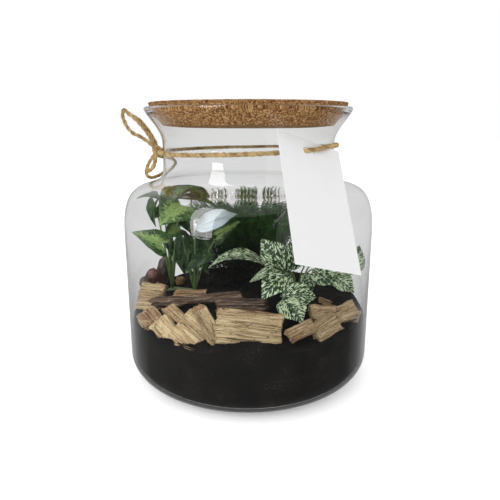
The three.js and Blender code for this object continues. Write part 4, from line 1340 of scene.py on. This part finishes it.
def leaf_bmesh(leaf, half, centre_share, seed, quilt):
    """A leaf blade with a fine edge, set veins and its own thickness."""
    base, tip, facing, width = leaf[:4]
    length = (Vector(tip) - Vector(base)).length
    outline = smooth_outline(half, length, width, EDGE_STEPS)
    spokes = len(outline)
    centre = Vector((centre_share * length, 0, 0))
    bm = bmesh.new()
    bmesh.ops.create_grid(bm, x_segments=spokes, y_segments=BLADE_RINGS, size=0.5)
    bm.verts.ensure_lookup_table()
    pattern = bm.verts.layers.float_vector.new("leaf")
    shift = seed * 3.7
    for vert in bm.verts:
        i = round((vert.co.x + 0.5) * spokes) % spokes
        share = max(vert.co.y + 0.5, 0.0)
        rim = outline[i]
        flat = centre.lerp(rim, share ** 0.85)
        if share > 0.9:
            tooth = 0.012 * width * noise.noise(Vector((rim.x * 0.35, rim.y * 0.35, seed)))
            flat += (rim - centre).normalized() * tooth
        x, y = flat.x, flat.y
        lift = leaf_lift(leaf, length, x, y)
        lift += quilt * vein_height(x / length, y / width, share)
        lift += 0.5 * noise.noise(Vector((x * 0.11, y * 0.11, seed * 5.0))) * share
        vert.co = Vector((x, y, lift))
        vert[pattern] = (x / length, y / width, shift)
    bmesh.ops.remove_doubles(bm, verts=bm.verts, dist=1e-4)
    bmesh.ops.recalc_face_normals(bm, faces=bm.faces)
    if sum(face.normal.z * face.calc_area() for face in bm.faces) < 0:
        bmesh.ops.reverse_faces(bm, faces=bm.faces)
    thickness = settings().blade_thickness / MM
    bmesh.ops.solidify(bm, geom=bm.faces[:], thickness=thickness)
    bmesh.ops.recalc_face_normals(bm, faces=bm.faces)
    place = Matrix.Scale(MM, 4) @ leaf_matrix(base, tip, facing)
    bmesh.ops.transform(bm, matrix=place, verts=bm.verts)
    set_tone(bm, leaf[8])
    return bm


def vein_height(s, t, share):
    """Set veins: a groove down the middle and between the side ribs, in shares of the quilt."""
    side = abs(t)
    rib = abs(((s - 0.8 * side) * 7.5) % 1 - 0.5) * 2
    groove = -math.exp(-((side / 0.03) ** 2)) * 1.2
    swell = 0.6 * math.sin(rib * math.pi / 2) * smooth_step(0.02, 0.15, side)
    return (groove + swell) * (1 - smooth_step(0.85, 1.0, share))


def stalk_strand(leaf, crown):
    """The stalk's line from the crown into the blade."""
    base, tip, facing = leaf[:3]
    length = (Vector(tip) - Vector(base)).length
    matrix = leaf_matrix(base, tip, facing)

    def in_blade(x):
        return matrix @ Vector((x, 0, leaf_lift(leaf, length, x, 0) - 0.4))

    crown = Vector(crown)
    middle = crown.lerp(Vector(base), 0.55) + Vector((0, 0, 8))
    line = through([p * MM for p in (crown, middle, in_blade(0), in_blade(2.4))], 26)
    return [(place, 1.15 - 0.5 * i / 25) for i, place in enumerate(line)]


def leaf_nodes(nodes):
    """The leaf's own coordinates: along, across, a number for each leaf, and all three as one."""
    own = nodes.attribute("leaf")
    along, across, number = nodes.split(own)
    return along, nodes.maths("ABSOLUTE", across), number, own


def rib_mask(nodes, along, side, ribs, width):
    """1 on the side ribs, which lean towards the tip, and on the middle one."""
    lean = nodes.maths("SUBTRACT", along, nodes.maths("MULTIPLY", side, 0.8))
    wave = nodes.maths("FRACT", nodes.maths("MULTIPLY", lean, ribs))
    gap = nodes.maths("ABSOLUTE", nodes.maths("SUBTRACT", wave, 0.5))
    rib = nodes.ramp(gap, (0.0, 1.0), (width, 0.0))
    middle = nodes.ramp(side, (0.012, 1.0), (0.03, 0.0))
    return nodes.maths("MAXIMUM", rib, middle)


def arrow_material():
    """Dark margins round a pale, yellowish middle that runs out along the ribs."""
    material, nodes, shader = new_material("arrowhead leaf")
    along, side, _, own = leaf_nodes(nodes)
    rib = rib_mask(nodes, along, side, 7.5, 0.12)
    cloud = nodes.noise(nodes.coords((5.0, 9.0, 1), own), 1.6, 4, 0.65, 0.5)
    edge = nodes.weighted(side, 1.5, cloud, 1.1)
    edge = nodes.maths("SUBTRACT", edge, nodes.maths("MULTIPLY", rib, 0.16))
    edge = nodes.maths("ADD", edge, nodes.maths("MULTIPLY", nodes.maths("ABSOLUTE", along), 0.35))
    pale = nodes.ramp(edge, (0.78, 1.0), (0.98, 0.0))
    pale = nodes.maths("MULTIPLY", pale, nodes.attribute("tone", "Fac"))
    fine = nodes.noise(nodes.coords((20, 30, 1), own), 1.6, 3, 0.6)
    broad = nodes.noise(nodes.coords((3, 4, 1), own), 1.4, 2, 0.5)
    green = nodes.ramp(
        broad, (0.38, linear(18, 38, 22)), (0.55, settings().arrow_colour), (0.68, linear(62, 94, 44))
    )
    light = nodes.ramp(fine, (0.35, linear(104, 136, 66)), (0.65, linear(158, 182, 112)))
    colour = nodes.mix(pale, green, light)
    colour = nodes.mix(nodes.maths("MULTIPLY", rib, 0.2), colour, linear(104, 140, 74))
    nodes.feed(
        shader, Base_Color=colour, Roughness=0.42, Specular_IOR_Level=0.35,
        Normal=nodes.bump(nodes.maths("SUBTRACT", fine, rib), 0.0004, 0.6),
    )
    return material


def painted_sheen_material():
    """The one leaf with a painted sheen: a bluish white colour that stands in for the light it shines
    back, greyer towards its tip.
    """
    material, nodes, shader = new_material("shining leaf")
    along, _, _, own = leaf_nodes(nodes)
    cloud = nodes.noise(nodes.coords((2.0, 2.6, 1), own), 1.2, 2, 0.4)
    place = nodes.maths("MULTIPLY_ADD", cloud, 0.5, nodes.maths("MULTIPLY", along, 0.45))
    # Painted sheen: the pale bluish whites stand in for a reflection of the soft light.
    colour = nodes.ramp(
        place, (0.12, linear(216, 228, 235)), (0.5, linear(166, 184, 192)),
        (0.74, linear(128, 148, 150)),
    )
    nodes.feed(shader, Base_Color=colour, Roughness=0.5, Coat_Weight=0.2)
    return material


def speckled_material():
    """Dark green broken by crisp cream-green specks that lie along the side ribs."""
    base = settings().speckled_colour
    material, nodes, shader = new_material("speckled leaf")
    along, side, number, own = leaf_nodes(nodes)
    lean = nodes.maths("SUBTRACT", along, nodes.maths("MULTIPLY", side, 0.8))
    ripple = nodes.noise(nodes.coords((26, 22, 1), own), 1.5, 2, 0.6)
    spread = nodes.add("ShaderNodeCombineXYZ")
    nodes.link(nodes.maths("MULTIPLY_ADD", lean, 35.0, ripple), spread.inputs[0])
    nodes.link(nodes.maths("MULTIPLY_ADD", side, 20.0, ripple), spread.inputs[1])
    nodes.link(number, spread.inputs[2])
    cell = nodes.split(nodes.cells(spread.outputs[0], 1.0, "F1", "Color"), "Color")[0]
    broad = nodes.noise(nodes.coords((3, 4, 1), own), 1.6, 2, 0.5)
    tone = nodes.maths("MULTIPLY", nodes.attribute("tone", "Fac"), 0.34)
    specks = nodes.maths("ADD", nodes.maths("ADD", cell, tone), nodes.maths("MULTIPLY", broad, 0.9))
    mask = nodes.ramp(nodes.maths("MULTIPLY", specks, 0.5), (0.62, 0.0), (0.635, 1.0))
    middle = nodes.ramp(side, (0.012, 0.0), (0.03, 1.0))
    rim = nodes.ramp(side, (0.44, 1.0), (0.5, 0.2))
    mask = nodes.maths("MULTIPLY", mask, nodes.maths("MULTIPLY", middle, rim))
    fine = nodes.noise(nodes.coords((16, 22, 1), own), 1.8, 3, 0.6)
    dark = nodes.ramp(fine, (0.35, tuple(c * 0.6 for c in base)), (0.65, linear(30, 74, 30)))
    light = nodes.ramp(fine, (0.35, linear(174, 202, 152)), (0.65, linear(222, 236, 206)))
    nodes.feed(
        shader, Base_Color=nodes.mix(mask, dark, light), Roughness=0.45, Specular_IOR_Level=0.35,
        Normal=nodes.bump(ripple, 0.0003, 0.5),
    )
    return material


def stalk_material():
    """Pale green stalks."""
    material, nodes, shader = new_material("leaf stalk")
    colour, _ = mottled(nodes, nodes.coords(), linear(118, 144, 84), linear(60, 88, 44), 120, 0.9)
    nodes.feed(shader, Base_Color=colour, Roughness=0.5)
    return material


def plant_piece(name, node, leaves, half, centre_share, crowns, material, quilt):
    """One plant's leaves; returns its stalks, to which its foot is added."""
    bm = bmesh.new()
    for number, (title, leaf) in enumerate(leaves.items()):
        painted_sheen = title == PAINTED_SHEEN_LEAF
        shape, middle = (OVAL_HALF, OVAL_MIDDLE) if painted_sheen else (half, centre_share)
        blade = leaf_bmesh(leaf, shape, middle, number + 1, quilt)
        for face in blade.faces:
            face.material_index = int(painted_sheen)
        add_mesh(bm, blade)
    piece = piece_from(bm, name + "_leaves", material, node)
    if PAINTED_SHEEN_LEAF in leaves:
        piece.data.materials.append(painted_sheen_material())
    strands = [stalk_strand(leaf, crowns[leaf[7]]) for leaf in leaves.values()]
    return tubes(strands, STALK_RADIUS, 3)


def make_arrowhead():
    """The arrowhead plant by the left glass."""
    stalks = plant_piece(
        "arrowhead", "arrowhead_plant", {**ARROW_LEAVES, **YOUNG_LEAVES},
        ARROW_HALF, ARROW_MIDDLE, ARROW_CROWNS, arrow_material(), quilt=0.5,
    )
    stem = [(place, 1) for place in through_mm(CREEPING_STEM, 40)]
    add_mesh(stalks, tubes([stem], STEM_RADIUS, 3))
    piece_from(stalks, "arrowhead_stalks", stalk_material())


def make_speckled():
    """The speckled plant at the front right."""
    stalks = plant_piece(
        "speckled", "speckled_plant", SPECKLED_LEAVES, OVAL_HALF, OVAL_MIDDLE,
        [SPECKLED_CROWN], speckled_material(), quilt=0.45,
    )
    x, y, z = SPECKLED_CROWN
    foot = [(at_mm(x, y, z - 17 + 2 * i), 1 if i < 10 else 0.7) for i in range(11)]
    add_mesh(stalks, tubes([foot], FOOT_RADIUS, 3))
    piece_from(stalks, "speckled_stalks", bpy.data.materials["leaf stalk"])


# Fern

# node: root, way up, reach of the sprays, seed, tiers of sprays
FRONDS = {
    "fern_frond_left": ((-24, 52), [(-27, 50, 124), (-35, 45, 154), (-46, 40, 170)], 32, 41, 7),
    "fern_frond_low_left": ((-28, 42), [(-34, 41, 108), (-38, 38, 126), (-37, 34, 142)], 26, 42, 5),
    "fern_frond_middle_left": ((-10, 60), [(-12, 60, 122), (-14, 56, 152), (-20, 50, 167)], 34, 43, 7),
    "fern_frond_middle": ((4, 52), [(6, 50, 120), (10, 48, 154), (12, 46, 173)], 32, 44, 7),
    "fern_frond_middle_right": ((20, 66), [(24, 66, 122), (34, 64, 148), (48, 60, 162)], 34, 45, 7),
    "fern_frond_right": ((32, 50), [(40, 48, 110), (52, 44, 136), (70, 40, 152)], 28, 46, 7),
    "fern_frond_back": ((2, 76), [(0, 80, 114), (-4, 82, 138), (-12, 80, 156)], 32, 47, 7),
    "fern_frond_low": ((14, 78), [(13, 83, 96), (11, 88, 112), (10, 90, 126)], 36, 48, 7),
}


# Places along a frond's stem, sprays in a tier, a twig's length in metres, tufts on it and needles
# in a tuft
STEM_PLACES = 90
TIER_SPRAYS = 6
TWIG_LENGTH = 0.014
TUFTS = 6
NEEDLES = 4
# Radii of a spray's stem at its foot, a twig's and a needle's, in metres
SPRAY_RADIUS = 0.0008
TWIG_RADIUS = 0.0004
NEEDLE_RADIUS = 0.00055
# How a spray sinks towards its end, as a share of its reach
DROOP = Vector((0, 0, -0.12))
# Inside the glass: the radius that stays free, and where and how fast it narrows
FREE_RADIUS = 0.118
SHOULDER_START = 0.165
SHOULDER_SLOPE = 0.9


def fern_material():
    """Fine green needles, darker low down: painted shade where the fronds shade each other."""
    material, nodes, shader = new_material("fern needles")
    colour, _ = mottled(nodes, nodes.coords(), settings().fern_colour, linear(24, 62, 16), 110, 1.0)
    _, _, height = nodes.split(nodes.coords())
    # Painted shade: the needles darken to near black towards the soil.
    shade = nodes.ramp(height, (0.098, 0.05), (0.12, 0.3), (0.136, 0.8), (0.16, 1.0))
    nodes.feed(
        shader, Base_Color=nodes.mix(1.0, colour, shade, "MULTIPLY"), Roughness=0.6,
        Specular_IOR_Level=0.2,
    )
    return material


def needle(bm, radius, length, matrix):
    """A thin cone that tapers to a point."""
    bmesh.ops.create_cone(
        bm, cap_ends=True, segments=3, radius1=radius, radius2=0, depth=length, matrix=matrix
    )


def twig_mesh(seed):
    """A side twig along X with tufts of needles."""
    rng = random.Random(seed)
    bm = bmesh.new()
    middle = Matrix.Translation((TWIG_LENGTH / 2, 0, 0))
    needle(bm, TWIG_RADIUS, TWIG_LENGTH, middle @ Matrix.Rotation(math.pi / 2, 4, "Y"))
    for tuft in range(TUFTS):
        foot = Vector(((1.5 + 12.5 * tuft / (TUFTS - 1)) * MM, 0, 0))
        reach = (4.6 - 1.8 * tuft / (TUFTS - 1)) * MM
        for k in range(NEEDLES):
            side = 1 if k % 2 else -1
            ahead = 0.55 + rng.uniform(-0.15, 0.25)
            across = side * rng.uniform(0.6, 1.0)
            aim = Vector((ahead, across, rng.uniform(-0.55, 0.55))).normalized()
            size = reach * rng.uniform(0.75, 1.1)
            turn = aim.to_track_quat("Z", "Y").to_matrix().to_4x4()
            needle(bm, NEEDLE_RADIUS, size, Matrix.Translation(foot + aim * size / 2) @ turn)
    bmesh.ops.remove_doubles(bm, verts=bm.verts, dist=TOUCHING)
    return mesh_of(bm, "twig")


def on_spray(start, aim, reach, t):
    """A place on a spray, a share of the way to its end."""
    return start + (aim * t + DROOP * t * t) * reach


def add_twigs(bm, twigs, start, aim, reach, rng):
    """The twigs along one spray, to its left and right in turn."""
    count = max(4, int(reach / MM / 2.4))
    for j in range(count):
        t = (j + 0.6) / count
        hand = 1 if j % 2 else -1
        across = aim.cross(Vector((0, 1, 0.2))).normalized() * hand
        lean = (aim * 0.75 + across * 0.8 + Vector((0, rng.uniform(-0.4, 0.4), 0))).normalized()
        size = (1.2 - 0.7 * t) * rng.uniform(0.75, 1.1)
        turn = lean.to_track_quat("X", "Z").to_matrix().to_4x4()
        roll = Matrix.Rotation(rng.uniform(-0.6, 0.6), 4, "X")
        twig = twigs[rng.randrange(len(twigs))].copy()
        place = Matrix.Translation(on_spray(start, aim, reach, t))
        twig.transform(place @ turn @ roll @ Matrix.Scale(size, 4))
        bm.from_mesh(twig)
        bpy.data.meshes.remove(twig)


def frond_bmesh(root, way, spread, seed, tiers, twigs):
    """One frond: a stem and its sprays, each full of twigs."""
    rng = random.Random(seed)
    points = [(*root, SOIL_Z - 12), (*root, SOIL_Z), (*root, SOIL_Z + 9), *way]
    stem = through_mm(points, STEM_PLACES)
    last = STEM_PLACES - 1
    strands = [[(place, 1 - 0.6 * i / last) for i, place in enumerate(stem)]]
    bm = bmesh.new()
    count = tiers * TIER_SPRAYS
    for i in range(count):
        u = 0.2 + 0.795 * (i / (count - 1)) ** 0.8
        k = min(int(u * last), last - 1)
        start = stem[k]
        forward = (stem[k + 1] - stem[k]).normalized()
        side = 1 if i % 2 == 0 else -1
        level = Vector((side, rng.uniform(-0.5, 0.5), 0.1)).normalized()
        aim = (level * 0.86 + forward * 0.4).normalized()
        swell = math.sin(math.pi * (0.22 + 0.5 * min((1 - u) / 0.6, 1.0)))
        reach = spread * MM * (0.4 + 0.6 * swell)
        reach *= rng.uniform(0.75, 1.05)
        strands.append([(on_spray(start, aim, reach, j / 8), 0.55 - 0.4 * (j / 8)) for j in range(9)])
        add_twigs(bm, twigs, start, aim, reach, rng)
    add_mesh(bm, tubes(strands, SPRAY_RADIUS, 1))
    return bm


def make_fern():
    """The fern's fronds."""
    material = fern_material()
    twigs = [twig_mesh(seed) for seed in (61, 62, 63)]
    for node, values in FRONDS.items():
        bm = frond_bmesh(*values, twigs)
        keep_clear(bm)
        piece_from(bm, "plume" + node[4:], material, node)
    for twig in twigs:
        bpy.data.meshes.remove(twig)


def keep_clear(bm):
    """Draws back what would touch the glass or its shoulder."""
    for vert in bm.verts:
        r = math.hypot(vert.co.x, vert.co.y)
        limit = FREE_RADIUS - max(vert.co.z - SHOULDER_START, 0) * SHOULDER_SLOPE
        if r > limit:
            vert.co.x *= limit / r
            vert.co.y *= limit / r


# Operators


class PieceOperator:
    """What the operators share."""

    bl_options = {"REGISTER", "UNDO"}
    builder = None

    def execute(self, context):
        """Builds the piece and raises an error if that fails."""
        type(self).builder()
        return {"FINISHED"}


class TERRARIUM_OT_stage(PieceOperator, bpy.types.Operator):
    """Make the camera, the pale floor and the soft light"""

    bl_idname = "terrarium.stage"
    bl_label = "Stage"
    builder = staticmethod(make_stage)


class TERRARIUM_OT_twine(PieceOperator, bpy.types.Operator):
    """Make the jute twine round the neck with its bow"""

    bl_idname = "terrarium.twine"
    bl_label = "Twine"
    builder = staticmethod(make_twine)


class TERRARIUM_OT_jar(PieceOperator, bpy.types.Operator):
    """Make the glass jar"""

    bl_idname = "terrarium.jar"
    bl_label = "Glass jar"
    builder = staticmethod(make_jar)


class TERRARIUM_OT_cork(PieceOperator, bpy.types.Operator):
    """Make the cork lid"""

    bl_idname = "terrarium.cork"
    bl_label = "Cork lid"
    builder = staticmethod(make_cork)


class TERRARIUM_OT_tag(PieceOperator, bpy.types.Operator):
    """Give the blank card tag its paper finish"""

    bl_idname = "terrarium.tag"
    bl_label = "Card tag"
    builder = staticmethod(make_tag)


class TERRARIUM_OT_soil(PieceOperator, bpy.types.Operator):
    """Make the soil and its crumbs"""

    bl_idname = "terrarium.soil"
    bl_label = "Soil"
    builder = staticmethod(make_soil)


class TERRARIUM_OT_chips(PieceOperator, bpy.types.Operator):
    """Carve the split wood chips"""

    bl_idname = "terrarium.chips"
    bl_label = "Wood chips"
    builder = staticmethod(make_chips)


class TERRARIUM_OT_bark(PieceOperator, bpy.types.Operator):
    """Carve the bark branch and the bark piece"""

    bl_idname = "terrarium.bark"
    bl_label = "Bark"
    builder = staticmethod(make_bark)


class TERRARIUM_OT_stones(PieceOperator, bpy.types.Operator):
    """Make the stones and the husk"""

    bl_idname = "terrarium.stones"
    bl_label = "Stones"
    builder = staticmethod(make_stones)


class TERRARIUM_OT_arrowhead(PieceOperator, bpy.types.Operator):
    """Grow the arrowhead plant"""

    bl_idname = "terrarium.arrowhead"
    bl_label = "Arrowhead plant"
    builder = staticmethod(make_arrowhead)


class TERRARIUM_OT_speckled(PieceOperator, bpy.types.Operator):
    """Grow the speckled plant"""

    bl_idname = "terrarium.speckled"
    bl_label = "Speckled plant"
    builder = staticmethod(make_speckled)


class TERRARIUM_OT_fern(PieceOperator, bpy.types.Operator):
    """Grow the fern fronds"""

    bl_idname = "terrarium.fern"
    bl_label = "Fern"
    builder = staticmethod(make_fern)


STEPS = [
    TERRARIUM_OT_stage, TERRARIUM_OT_twine, TERRARIUM_OT_jar, TERRARIUM_OT_cork, TERRARIUM_OT_tag,
    TERRARIUM_OT_soil, TERRARIUM_OT_chips, TERRARIUM_OT_bark, TERRARIUM_OT_stones,
    TERRARIUM_OT_arrowhead, TERRARIUM_OT_speckled, TERRARIUM_OT_fern,
]


class TERRARIUM_PT_panel(bpy.types.Panel):
    """The terrarium's settings and steps"""

    bl_idname = "TERRARIUM_PT_panel"
    bl_label = "Terrarium"
    bl_space_type = "VIEW_3D"
    bl_region_type = "UI"
    bl_category = "Terrarium"

    def draw(self, context):
        """Lists the settings and the operators."""
        column = self.layout.column()
        for name in TerrariumSettings.__annotations__:
            column.prop(context.scene.terrarium, name)
        for step in STEPS:
            column.operator(step.bl_idname)


CLASSES = [TerrariumSettings, *STEPS, TERRARIUM_PT_panel]


def register():
    """Adds the classes and the scene's settings."""
    for each in CLASSES:
        bpy.utils.register_class(each)
    bpy.types.Scene.terrarium = PointerProperty(type=TerrariumSettings)


def unregister():
    """Takes the classes and the scene's settings away."""
    del bpy.types.Scene.terrarium
    for each in reversed(CLASSES):
        bpy.utils.unregister_class(each)


def main():
    """Builds everything in order."""
    register()
    for step in STEPS:
        group, name = step.bl_idname.split(".")
        getattr(getattr(bpy.ops, group), name)()


if __name__ == "__main__":
    main()
